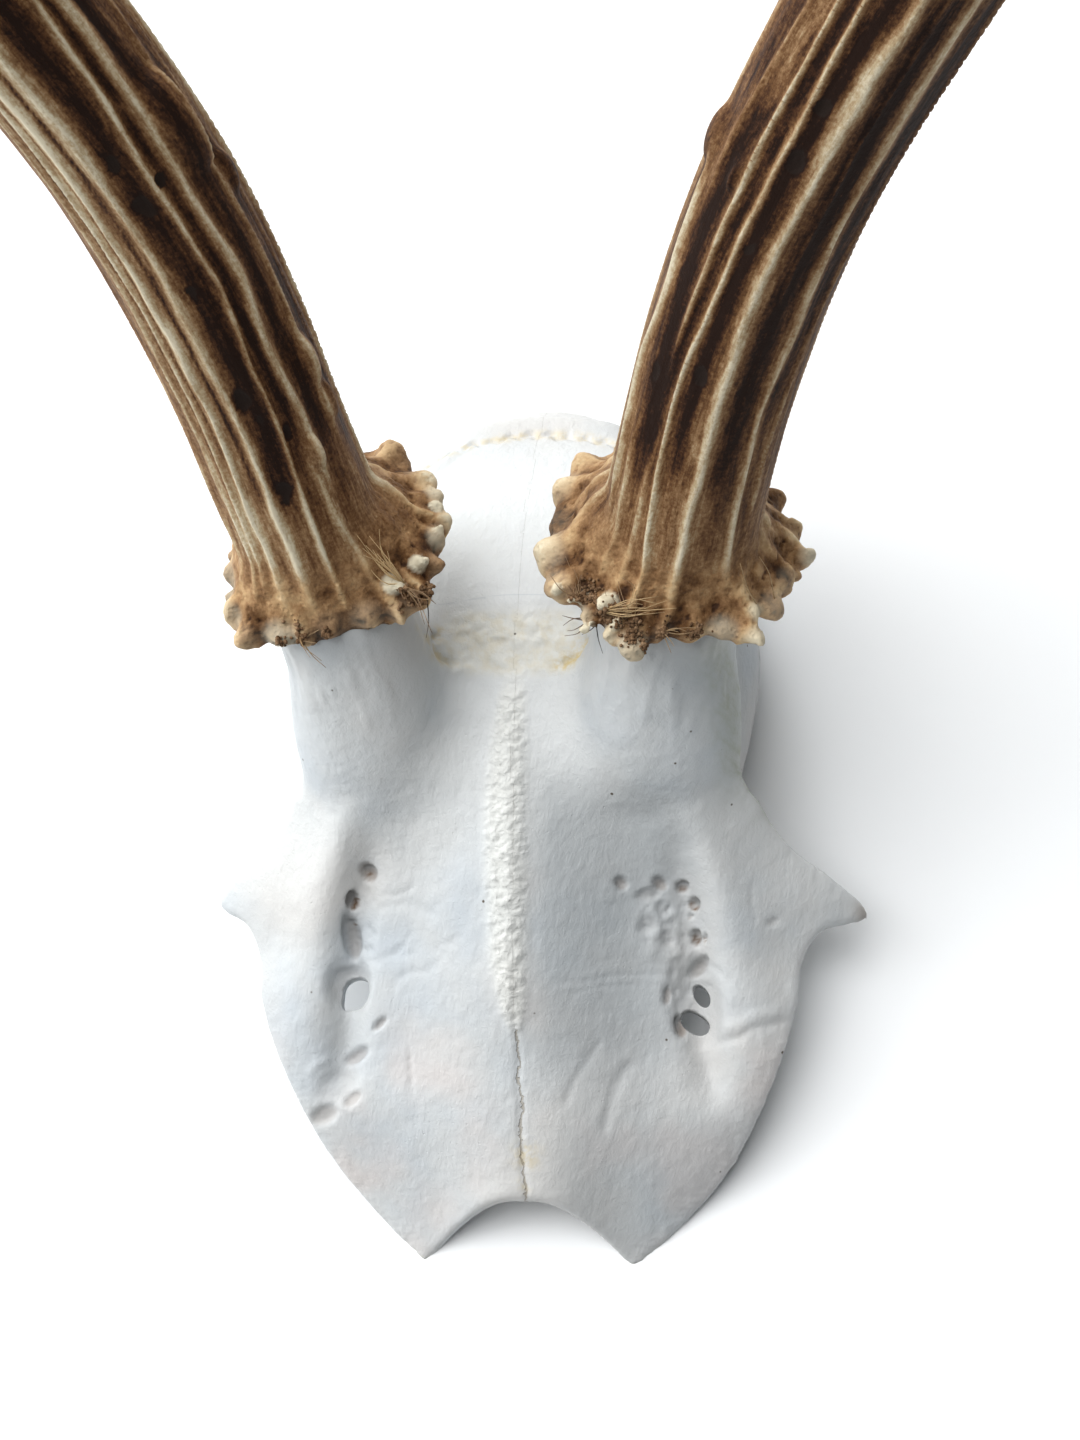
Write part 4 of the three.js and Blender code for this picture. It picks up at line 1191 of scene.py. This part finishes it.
# Knobs round each coronet: degrees, reach, half width, lift, ivory share.
coronetKnobs = {
    "right": [
        (156, 18.4, 2.6, 0.6, 0.1), (133, 17.0, 2.2, 0.5, 0.2), (119, 16.5, 1.5, 0.9, 0.8),
        (106, 16.4, 1.2, 0.2, 0.5), (95, 15.4, 1.4, 0.3, 0.7), (80, 16.2, 1.5, -0.2, 0.1),
        (68, 15.9, 1.0, -0.8, 0), (59, 16.3, 1.3, -1.2, 0), (48, 15.8, 1.8, -1.4, 0.2),
        (34, 13.2, 2.0, -0.8, 0.2), (11, 13.4, 2.2, -0.4, 0.1), (-4, 13.6, 1.4, -0.5, 0.1),
        (-16, 14.6, 2.0, -0.4, 0.6), (-34, 17.2, 1.9, -0.2, 0.2), (-45, 15.2, 1.5, 0.8, 0.5),
        (-56, 14.0, 1.6, 1.0, 0.5), (-72, 13.2, 2.0, 1.0, 0.4), (-90, 13.2, 1.7, 0.2, 0.2),
        (-106, 14.2, 1.5, 0.5, 0.4), (-123, 15.2, 2.3, 0.2, 0), (-146, 17.0, 2.0, 0.3, 0.3),
        (-160, 16.6, 1.3, 0.1, 0.1), (-174, 18.0, 2.2, 0.2, 0.1),
    ],
    "left": [
        (-140, 18.3, 2.5, 0.5, 0.1), (-122, 17.4, 2.2, 0.4, 0.4), (-100, 15.5, 2.3, 0.1, 0.1),
        (-81, 16.7, 2.4, 0.3, 0.5), (-62, 17.2, 2.0, -0.4, 0.3), (-43, 16.4, 1.2, -0.9, 0.6),
        (-28, 16.9, 1.1, -0.9, 0.8), (-16, 18.2, 2.0, -1.2, 0.7), (-4, 14.6, 1.2, -0.6, 0.1),
        (10, 14.3, 2.0, -0.6, 0), (25, 15.6, 1.7, -0.4, 0.5), (36, 18.8, 1.5, -0.4, 0.9),
        (42, 15.8, 1.1, 1.2, 0.8), (52, 17.2, 2.2, -0.2, 0.3), (68, 16.0, 1.5, 0.6, 0.2),
        (77, 16.9, 1.2, -0.3, 0.1), (88, 18.0, 1.3, 0.4, 0.9), (103, 17.2, 1.9, 0.5, 0.1),
        (122, 16.8, 2.3, 0.3, 0), (141, 17.2, 1.5, 0.5, 0.2), (153, 16.8, 1.7, 0.0, 0.1),
        (168, 18.0, 2.4, 0.3, 0.3), (-170, 17.2, 1.4, 0.2, 0), (-158, 18.2, 1.8, 0.4, 0.1),
    ],
}
# Loose ivory grains on the upper side of the coronets: degrees, reach, lift, size, length, tilt.
coronetBeans = {
    "right": [
        (73, 14.0, 1.7, 1.1, 1.9, 35), (55, 12.6, 1.9, 1.15, 1.9, 10), (97, 15.0, 1.2, 0.8, 1.3, 60),
        (110, 15.0, 1.4, 0.8, 1.2, 0),
    ],
    "left": [
        (-48, 15.2, 0.8, 0.9, 2.3, 20), (-34, 13.9, 1.7, 1.2, 2.0, 30), (-37, 16.8, -1.0, 0.9, 1.2, 0),
        (-26, 15.2, 0.2, 0.7, 1.0, 0), (-58, 16.2, 0.6, 0.7, 1.1, 60),
    ],
}
soilClumps = {  # crumbs of soil stuck to the coronets: centre, spread, count
    "right": [
        ((-25, 64, 53.6), 2.0, 150), ((-21.6, 64.4, 53.6), 1.6, 80), ((-10.2, 69.9, 53.4), 1.6, 110),
        ((-8.6, 72, 51.5), 1.2, 50),
    ],
    "left": [
        ((16.4, 65.4, 55), 1.8, 100), ((20.6, 64.2, 54.4), 1.8, 120), ((24.4, 64.4, 54), 1.6, 90),
        ((10.6, 70.6, 54), 1.3, 80), ((13.4, 67.6, 54.4), 1.4, 80),
    ],
}
hairTufts = {  # root, tip, spread of the tips, count, tone from dark to light
    "right": [
        ((-10.8, 72.9, 54.4), (-14.4, 75.6, 57.6), 1.3, 18, 0.9),
        ((-10.4, 70, 54.4), (-8.4, 68.4, 54.8), 1.2, 10, 0.5),
        ((-8.6, 71, 51), (-8.9, 67, 48.5), 0.2, 1, 0.1),
        ((-25, 64, 54.2), (-22, 62.4, 54.6), 1.4, 5, 0.6),
    ],
    "left": [
        ((13.4, 67.6, 55.4), (18.6, 67.6, 56.8), 1.0, 13, 0.8),
        ((16.4, 66.2, 55.8), (13.6, 69.4, 57), 1.4, 9, 0.5),
        ((10.2, 70.8, 54.8), (9.4, 73.6, 56), 1.3, 8, 0.5),
        ((11.8, 67.4, 50.4), (10.1, 66, 50.1), 0.1, 1, 0.05),
        ((11.8, 67.4, 50.4), (12.6, 64, 49), 0.1, 1, 0.05),
        ((10.4, 67.8, 51.6), (7.8, 67.4, 51.2), 0.6, 4, 0.3),
        ((21, 64, 54.8), (24.6, 63.4, 55.4), 1.3, 7, 0.6),
        ((33.2, 71, 52.4), (31.4, 74, 57.6), 0.3, 2, 0.7),
    ],
}


def beamCourse(antler):
    foot = np.array(antler["foot"])
    points = np.array([mirrored(foot + row, antler["side"]) for row in np.array(beamShape["spine"], float)])
    length = courseThrough(points)["length"]
    share = np.arange(len(points)) / (len(points) - 1)
    points[:, 0] -= antler["side"] * along(antler["closeIn"], length * share)
    return courseThrough(points)


def tineCourse(antler, tine):
    course = beamCourse(antler)
    start = stationOn(course, np.array([float(tine["root"])]))[0][0]
    points = np.array(tine["points"], float)
    return courseThrough([start] + [start + mirrored(row, antler["side"]) for row in points])


def coronetAxis(antler):
    axis = axisOf(antler["azimuth"], antler["elevation"], antler["side"])
    return mirrored(antler["centre"], antler["side"]), axis


def coronetCourse(antler):
    centre, axis = coronetAxis(antler)
    ends = [centre - axis * coronetShape["below"], centre + axis * coronetShape["flare"]]
    return courseThrough([ends[0], (ends[0] + ends[1]) / 2, ends[1]])


def rimReach(name, angle):  # how far the ruff reaches out at each angle
    knobs = np.array(sorted(row[:4] for row in coronetKnobs[name]))
    turn = np.radians(np.concatenate([knobs[:, 0] - 360, knobs[:, 0], knobs[:, 0] + 360]))
    reach = np.interp(angle, turn, np.tile(knobs[:, 1], 3)) - 1.5
    lift = np.interp(angle, turn, np.tile(knobs[:, 3], 3))
    lobes = np.zeros(len(angle))
    for degrees, far, half, __ in knobs:
        lobes = np.maximum(lobes, bell(wrapped(angle - math.radians(degrees)) * far, half))
    return reach + 1.2 * lobes, lift


def coronetWays(antler):  # at the ruff's middle: its upward, sideways and forward directions
    return [row[0] for row in stationOn(coronetCourse(antler), np.array([coronetShape["below"]]))[1:]]


def outFrom(ways, degrees):
    angle = math.radians(degrees)
    return ways[1] * math.sin(angle) + ways[2] * math.cos(angle)


def leanOut(ways, out, tilt):  # the direction of a grain that is tilted up from the ruff's face
    return unit(out * math.cos(math.radians(tilt)) + ways[0] * math.sin(math.radians(tilt)))


def grainTurn(ways, out, lie):
    across = np.cross(ways[0], out)
    return Matrix([lie, across, np.cross(lie, across)]).transposed()


def coronetParts(name, antler):
    centre = coronetAxis(antler)[0]
    ways = coronetWays(antler)

    def ruff(at, angle):
        far, lift = rimReach(name, angle)
        stem = antler["scale"] * along(coronetShape["profile"], at)
        return stem + (far - stem) * along(coronetShape["shelf"], at - lift * 0.8)
    parts = [tubeAlong(coronetCourse(antler), ruff, 240, 48)]
    for degrees, reach, half, lift, __ in coronetKnobs[name]:
        out = outFrom(ways, degrees)
        turn = grainTurn(ways, out, unit(out + ways[0] * (lift - 0.2) * 0.2))
        place = centre + out * (reach - half * 1.15) + ways[0] * (lift * 0.95)
        parts.append(grain(half * 0.9, (1.3, 1, 1.0), turn, place, 3))
    for degrees, reach, lift, size, length, tilt in coronetBeans[name]:
        out = outFrom(ways, degrees)
        turn = grainTurn(ways, out, leanOut(ways, out, tilt))
        parts.append(grain(size, (length, 1, 0.9), turn, centre + out * reach + ways[0] * lift, 3))
    return parts


def antlerParts(name, antler):
    course = beamCourse(antler)
    design = beamShape["radius"][-1][0] / course["length"]

    def radius(at, angle):
        flutes = 1 + 0.018 * np.cos(5 * angle + antler["side"])
        plain = antler["girth"] * straight(beamShape["radius"], at * design) * flutes
        return plain - beamShape["furrowDepth"] * 0.6 * (1 - ease(at, 150, 190))
    parts = [tubeAlong(course, radius, 96, 200)]
    for tine in tines.values():
        side = tineCourse(antler, tine)
        parts.append(tubeAlong(side, lambda at, angle: straight(tine["radius"], at) * 0.97, 64, 80))
    for at, degrees, size in beamBumps[name]:
        where = np.array([float(at)])
        reach = np.array([along(beamShape["radius"], at) - 0.33 * size])
        spot = onTube(course, where, np.array([math.radians(degrees)]), reach)[0]
        turn = Vector(stationOn(course, where)[1][0]).to_track_quat("Z", "X").to_matrix()
        parts.append(grain(size * 0.72, (1, 1, 2.3), turn, spot, 3))
    return parts


def fillRidges(name):  # the ridges of the unseen back of a beam, laid out at random spacing
    rng = np.random.default_rng({"right": 11, "left": 12}[name])
    start, end = (122, 292) if name == "right" else (96, 262)
    rows = []
    angle = start
    while angle < end:
        sway = rng.uniform(-7, 7, 5)
        line = [(at, angle + s) for at, s in zip((6, 28, 50, 72, 95), sway)]
        rows.append((rng.uniform(0.45, 0.95), rng.uniform(0.7, 1.5), line))
        angle += rng.uniform(15, 24)
    return rows


def ridgeField(name, at, angle):
    rise = np.zeros(len(at))
    for height, width, line in beamRidges[name] + fillRidges(name):
        rows = sorted([s, d] for s, d in line)
        first, last = rows[0][0], rows[-1][0]
        sway = mottle(np.stack([at, 0 * at + height * 50, 0 * at + width * 30], 1), 5, 5)
        centre = np.radians(along(rows, at)) + 0.02 * sway
        gap = np.abs(wrapped(angle - centre)) * ridgeReach
        fade = ease(at, first - 11, first - 2) * (1 - ease(at, last - 3, last + 8) * (last < 78))
        fade *= 1 - 0.55 * ease(at, 100, 125)
        swell = 0.72 + 0.3 * mottle(np.stack([at, 0 * at + height * 70, 0 * at + width * 40], 1), 14, 6)
        rise = np.maximum(rise, height * np.exp(-np.abs(gap / width / swell) ** 1.6) * fade)
    return rise


def shadeField(name, at, angle):
    shade = np.zeros(len(at))
    for amount, width, line in beamShades[name]:
        rows = sorted([s, d] for s, d in line)
        first, last = rows[0][0], rows[-1][0]
        gap = np.abs(wrapped(angle - np.radians(along(rows, at)))) * ridgeReach
        fade = ease(at, first - 6, first + 4) * (1 - ease(at, last - 4, last + 6))
        shade += amount * np.exp(-(gap / width) ** 2) * fade
    return shade


def crownField(at, angle, seed):  # shallow ridges of the upper beam and the tines
    way = np.stack([np.sin(angle) * 6, np.cos(angle) * 6, at * 0.05], 1)
    return ease(mottle(way, 2.6, seed), -0.35, 0.6)


def roughAntler(name, antler):
    parts = antlerParts(name, antler) + coronetParts(name, antler)
    skin = fused(toMesh(joined(parts)), 0.38)
    at, __, reach = nearestOn(beamCourse(antler), places(skin))
    around = lambda name: bell(at - smoothing[name][0], smoothing[name][1])
    fork = np.maximum(around("frontFork"), around("rearFork")) * 0.9
    foot = around("foot") * 0.5 * (reach < 11.6)
    relax(skin, np.clip(fork + foot, 0, 1), 60, fillOnly=0.85)
    relax(skin, np.full(len(at), 0.8), 2)
    relax(skin, 0.9 * around("overRuff") * (reach < 13) + 0.8 * ease(at, *smoothing["crown"]), 20)
    return skin


def branchOf(antler, co, gap):  # branch of each point, 0 for the beam, and its place along and round a tine
    tineAt, tineAngle, owner = np.zeros(len(co)), np.zeros(len(co)), np.zeros(len(co), int)
    border = np.full(len(co), 9.0)
    for k, tine in enumerate(tines.values(), 1):
        at, angle, reach = nearestOn(tineCourse(antler, tine), co)
        tineGap = reach - along(tine["radius"], at)
        lead = np.minimum(gap - 0.3 - tineGap, (at - 9) * 0.4)
        closer = lead > 0
        border = np.minimum(border, np.abs(lead))
        tineAt[closer], tineAngle[closer], owner[closer] = at[closer], angle[closer], k
        gap = np.where(closer, tineGap, gap)
    return tineAt, tineAngle, owner, border


def strandsOf(side, at, angle, tineAt, tineAngle, owner):  # places in which the grain of the horn runs long
    onBeam = np.stack([np.sin(angle) * 10, np.cos(angle) * 10, at * strandPitch + 30 * side], 1)
    onTine = np.stack([np.sin(tineAngle) * 7, np.cos(tineAngle) * 7, tineAt * strandPitch + 60 * owner], 1)
    return np.where((owner > 0)[:, None], onTine, onBeam)


def pitsOf(name, co, at, angle):  # share of the dark pits, and how deep they are
    share, depths = np.zeros(len(co)), np.zeros(len(co))
    for place, degrees, size, depth in beamSpots[name]:
        around = wrapped(angle - math.radians(degrees)) * ridgeReach
        off = np.hypot((at - place) / 1.6, around) + 0.5 * mottle(co, 1.4, 23)
        share = np.maximum(share, 1 - ease(off, size * 0.55, size * 1.1))
        depths += depth * 0.6 * (1 - ease(off, size * 0.3, size))
    return share, depths


def ribsOf(name, co, turn, outward):  # ribs that run out to the knobs
    ribs = np.zeros(len(co))
    sway = 0.10 * mottle(co, 5, 71)
    for k, (degrees, __, half, __, __) in enumerate(coronetKnobs[name]):
        off = np.abs(wrapped(turn + sway - math.radians(degrees))) * outward
        ribs = np.maximum(ribs, (0.6 + 0.4 * math.sin(k * 2.4)) * bell(off, half * 0.7))
    return ribs


def ivoryOf(name, antler, co):  # the pale knobs and grains of the coronet
    centre = coronetAxis(antler)[0]
    ways = coronetWays(antler)
    ivory = np.zeros(len(co))
    for degrees, far, half, lift, share in coronetKnobs[name]:
        tip = centre + outFrom(ways, degrees) * (far - half * 0.6) + ways[0] * lift
        off = np.linalg.norm(co - tip, axis=1)
        ivory = np.maximum(ivory, 0.9 * share * (1 - ease(off, half * 0.7, half * 1.6)))
    for degrees, far, lift, size, length, tilt in coronetBeans[name]:
        out = outFrom(ways, degrees)
        off = co - centre - out * far - ways[0] * lift
        run = off @ leanOut(ways, out, tilt)
        off = np.sqrt((run / length) ** 2 + np.maximum((off ** 2).sum(1) - run ** 2, 0))
        ivory = np.maximum(ivory, 1 - ease(off, size * 1.02, size * 1.3))
    return ivory


def soiledOf(name, co):
    soiled = np.zeros(len(co))
    for spot, spread, __ in soilClumps[name]:
        soiled = np.maximum(soiled, 0.75 * bell(np.linalg.norm(co - np.array(spot), axis=1), spread * 1.1))
    return soiled


def buildAntler(name, antler):
    skin = roughAntler(name, antler)
    spans = antlerSkin
    course = beamCourse(antler)
    co, n = places(skin), normals(skin)
    at, angle, reach = nearestOn(course, co)
    centre, axis = coronetAxis(antler)
    high = (co - centre) @ axis  # height over the coronet's middle
    outward = np.linalg.norm(co - centre - high[:, None] * axis, axis=1)
    burr = 1 - ease(high + 0.6 * mottle(co, 3, 17), *spans["burr"])
    tineAt, tineAngle, owner, border = branchOf(antler, co, reach - along(beamShape["radius"], at))
    onBeam = owner == 0
    # ridges of the beam, which give way to shallower ones towards the crown
    tineRidges = crownField(tineAt + owner * 90, tineAngle, 32 + owner)
    crown = np.where(onBeam, crownField(at, angle, 31), tineRidges)
    shift = ease(at, *spans["crownRidges"])
    field = np.where(onBeam, ridgeField(name, at, angle) * (1 - shift) + crown * 0.8 * shift, crown * 0.8)
    clear = ease(border, *spans["meeting"])  # the branches' own ridges fade out where they meet
    field = 0.4 + (field - 0.4) * clear
    tipEnds = np.where(onBeam, ease(at, *spans["beamTip"]), ease(tineAt, *spans["tineTip"]))
    strand = strandsOf(antler["side"], at, angle, tineAt, tineAngle, owner)
    fibres = (mottle(strand, 0.95, 41) * 0.10 + mottle(strand, 2.1, 42) * 0.12) * clear
    rise = beamShape["furrowDepth"] * (field * 1.35 - 0.5) * (1 - tipEnds) + fibres * (1 - 0.6 * tipEnds)
    pits, pitDepths = pitsOf(name, co, at, angle)
    rise -= pitDepths * onBeam
    # the coronet: ribs that run out to the knobs, and a porous skin
    across, ahead = [row[0] for row in stationOn(course, np.zeros(1))[2:]]
    ribs = ribsOf(name, co, np.arctan2((co - centre) @ across, (co - centre) @ ahead), outward)
    holes, __ = grains(co + 0.3 * mottle(co, 0.9, 72)[:, None], 1.3, 73)
    ribShare = ease(outward, *spans["ribsFrom"]) * (1 - ease(outward, *spans["ribsTo"]))
    ruffRise = spans["ribs"] * (ribs - 0.5) * ribShare + spans["grit"] * layered(co, 1.9, 51)
    ruffRise += spans["knolls"] * mottle(co, 3.4, 55) * ease(outward, 12, 14)
    ruffRise -= spans["holes"] * (1 - ease(holes, 0.12, 0.42))
    rise = rise * (1 - burr * 0.6 * ease(outward, 10.4, 12.5)) + ruffRise * (1 - ease(high, *spans["ruff"]))
    setPlaces(skin, co + n * rise[:, None])
    relax(skin, np.clip(0.9 * ease(at, 164, 172) * onBeam + 0.6 * (1 - clear), 0, 1), 40)
    # what the colours need
    ridge = np.clip(field, 0, 1)
    level = 0.30 + 0.56 * ridge + shadeField(name, at, angle) * onBeam + 0.10 * (1 - ease(at, 8, 24))
    frill = ease(outward, *spans["frill"]) * (1 - ease(high, 4, 8))
    runOn = ridge * (1 - ease(outward, 12, 15.5)) * ease(high, 0, 2.5)
    hollow = (1 - ease(holes, 0.10, 0.38)) * ease(outward, 11.5, 13)
    ruffLevel = 0.42 + 0.50 * (ribs - 0.5) * frill + 0.20 * ease(outward, 13, 16.5)
    ruffLevel += 0.20 * layered(co, 2.6, 61) + 0.34 * runOn - 0.24 * hollow
    ivory = np.maximum(ivoryOf(name, antler, co), 0.75 * tipEnds)
    under = ease(-(high - 0.5), 0, 3) * (outward < 13)
    addMeasure(skin, "relief", np.clip(level * (1 - burr) + ruffLevel * burr - pits * 0.9 * onBeam, 0, 1))
    addMeasure(skin, "burr", burr)
    addMeasure(skin, "ivory", ivory * 0.85)
    addMeasure(skin, "dirt", np.clip(under * 0.6 + pits + soiledOf(name, co) * (1 - ivory), 0, 1))
    addDirection(skin, "skinWay", normals(skin))
    addDirection(skin, "grainWay", strand / 1000 * np.array([1, 1, 1 / strandPitch]))
    print(f"{name} antler grown: {len(skin.vertices)} points")
    return skin, course, centre, axis


soilColours = [(0.3, (0.045, 0.024, 0.013)), (0.5, (0.17, 0.098, 0.052)), (0.7, (0.36, 0.235, 0.14))]
hairColours = [(0.05, (0.022, 0.014, 0.010)), (0.45, (0.17, 0.095, 0.045)), (0.9, (0.52, 0.36, 0.18))]


def soilFinish():
    made = Finish("driedSoil")
    place = made.place()
    crumb = made.noise(place, 0.0009, 4, 0.7)
    tint = made.colours(crumb, soilColours)
    relief = made.bump(made.noise(place, 0.0003, 4, 0.7), 0.8, 0.0001)
    return made.set(Base_Color=tint, Roughness=crumb * 0.1 + 0.85, Normal=relief, Specular_IOR_Level=0.1)


def hairFinish():
    made = Finish("deerHair")
    tone = made.measure("tone") + (made.noise(made.place(), 0.0012, 2) - 0.5) * 0.5
    tint = made.colours(tone, hairColours)
    return made.set(Base_Color=tint, Roughness=0.45 + tone * 0.1, Specular_IOR_Level=0.35)


def soilPart(co, n, centre, spread, count, rng):
    near = np.linalg.norm(co - np.array(centre), axis=1) < spread * 2.5 + 3
    co, n = co[near], n[near]
    crumbs = []
    for _ in range(count * 2):
        aim = np.array(centre) + rng.normal(0, spread * 0.42, 3)
        k = ((co - aim) ** 2).sum(1).argmin()
        size = rng.uniform(0.10, 0.30)
        turn = Matrix.Rotation(rng.uniform(0, 6.2), 3, Vector(rng.normal(size=3)).normalized())
        stretch = rng.uniform(0.7, 1.4, 3)
        crumbs.append(grain(size, stretch, turn, co[k] + n[k] * size * rng.uniform(0.1, 1.1), 1))
    return crumbs


def hairPart(co, root, tip, rng):
    start = co[((co - root) ** 2).sum(1).argmin()]
    end = start + tip - root
    middle = (start + end) / 2 + rng.normal(0, 0.12 * np.linalg.norm(tip - root), 3)
    course = courseThrough([start, middle, end])
    return tubeAlong(course, lambda at, angle: 0.085 * (1 - 0.65 * at / course["length"]), 6, 8)


def dressLitter(name, skin):
    co, n = places(skin), normals(skin)
    rng = np.random.default_rng({"right": 41, "left": 42}[name])
    crumbs = []
    for centre, spread, count in soilClumps[name]:
        crumbs += soilPart(co, n, centre, spread, count, rng)
    finishPiece(f"soil{name.capitalize()}", toMesh(joined(crumbs)), soilFinish())
    hairs, tones = [], []
    for root, tip, spread, count, tone in hairTufts[name]:
        for _ in range(count):
            away = rng.normal(0, spread, 3) * (1 if count > 1 else 0)
            start = np.array(root) + rng.normal(0, 0.3, 3) * (count > 1)  # a single hair keeps its root
            hairs.append(hairPart(co, start, np.array(tip) + away, rng))
            tones += [tone] * len(hairs[-1].verts)
    mesh = toMesh(joined(hairs))
    addMeasure(mesh, "tone", tones)
    finishPiece(f"hair{name.capitalize()}", mesh, hairFinish())


def dressAntlers():
    shaftFinish = antlerFinish("antlerSurface")
    ruffFinish = antlerFinish("coronetSurface")
    for name, antler in antlers.items():
        skin, course, centre, axis = buildAntler(name, antler)
        dressLitter(name, skin)
        parting = np.array([float(beamShape["parting"])])
        partAt, partWay = [row[0] for row in stationOn(course, parting)[:2]]
        ruffTop = centre + axis * coronetShape["top"]
        title = name.capitalize()
        tineNodes = (f"beam_upper_{name}", f"top_tine_{name}", f"front_tine_{name}", f"rear_tine_{name}")
        beamCuts = [(ruffTop, -axis), (partAt, partWay)]
        cuts = [
            (f"coronet{title}", [(ruffTop, axis)], ruffFinish, "coronet", (f"coronet_{name}",)),
            (f"beam{title}", beamCuts, shaftFinish, "antler", (f"beam_lower_{name}",)),
            (f"crown{title}", [(partAt, -partWay)], shaftFinish, "antler", tineNodes),
        ]
        for pieceName, planes, finish, slot, nodes in cuts:
            bm = bmesh.new()
            bm.from_mesh(skin)
            for place, normal in planes:
                sliced(bm, place, normal)
            finishPiece(pieceName, toMesh(bm), finish, nodes)


# Floor and light
studio = {
    "floorColour": (0.93, 0.935, 0.94), "worldColour": (0.90, 0.96, 1.0), "worldStrength": 0.12,
    "lamps": [  # place, aim, size, power, colour
        ((-1.0, 0.15, 0.45), (0, 0, 0.02), 0.8, 8.5, (0.97, 0.995, 1.0)),
        ((-0.1, 1.0, 0.6), (0, 0, 0.02), 0.8, 6.5, (0.97, 0.995, 1.0)),
        ((-0.35, 0.2, 1.15), (0, 0, 0.02), 1.2, 19, (0.985, 0.995, 1.0)),
    ],
}


def setStudio():
    bm = bmesh.new()
    bmesh.ops.create_grid(bm, x_segments=1, y_segments=1, size=3)
    floor = bpy.data.objects.new("floor", toMesh(bm, "floor"))
    bpy.context.scene.collection.objects.link(floor)
    made = Finish("paleFloor")
    floor.data.materials.append(made.set(Base_Color=studio["floorColour"], Roughness=0.8))
    world = bpy.data.worlds.new("studio")
    world.use_nodes = True
    background = world.node_tree.nodes["Background"]
    background.inputs["Color"].default_value = (*studio["worldColour"], 1)
    background.inputs["Strength"].default_value = studio["worldStrength"]
    bpy.context.scene.world = world
    bpy.context.scene.view_settings.view_transform = "Standard"  # keeps pale tones pale
    for place, aim, size, power, colour in studio["lamps"]:
        data = bpy.data.lights.new("softbox", "AREA")
        data.size = size
        data.energy = power
        data.color = colour
        lamp = bpy.data.objects.new("softbox", data)
        turn = (Vector(place) - Vector(aim)).to_track_quat("Z", "Y")
        lamp.matrix_world = Matrix.Translation(place) @ turn.to_matrix().to_4x4()
        lamp.visible_camera = False
        bpy.context.scene.collection.objects.link(lamp)


dressSkull()
dressAntlers()
setStudio()
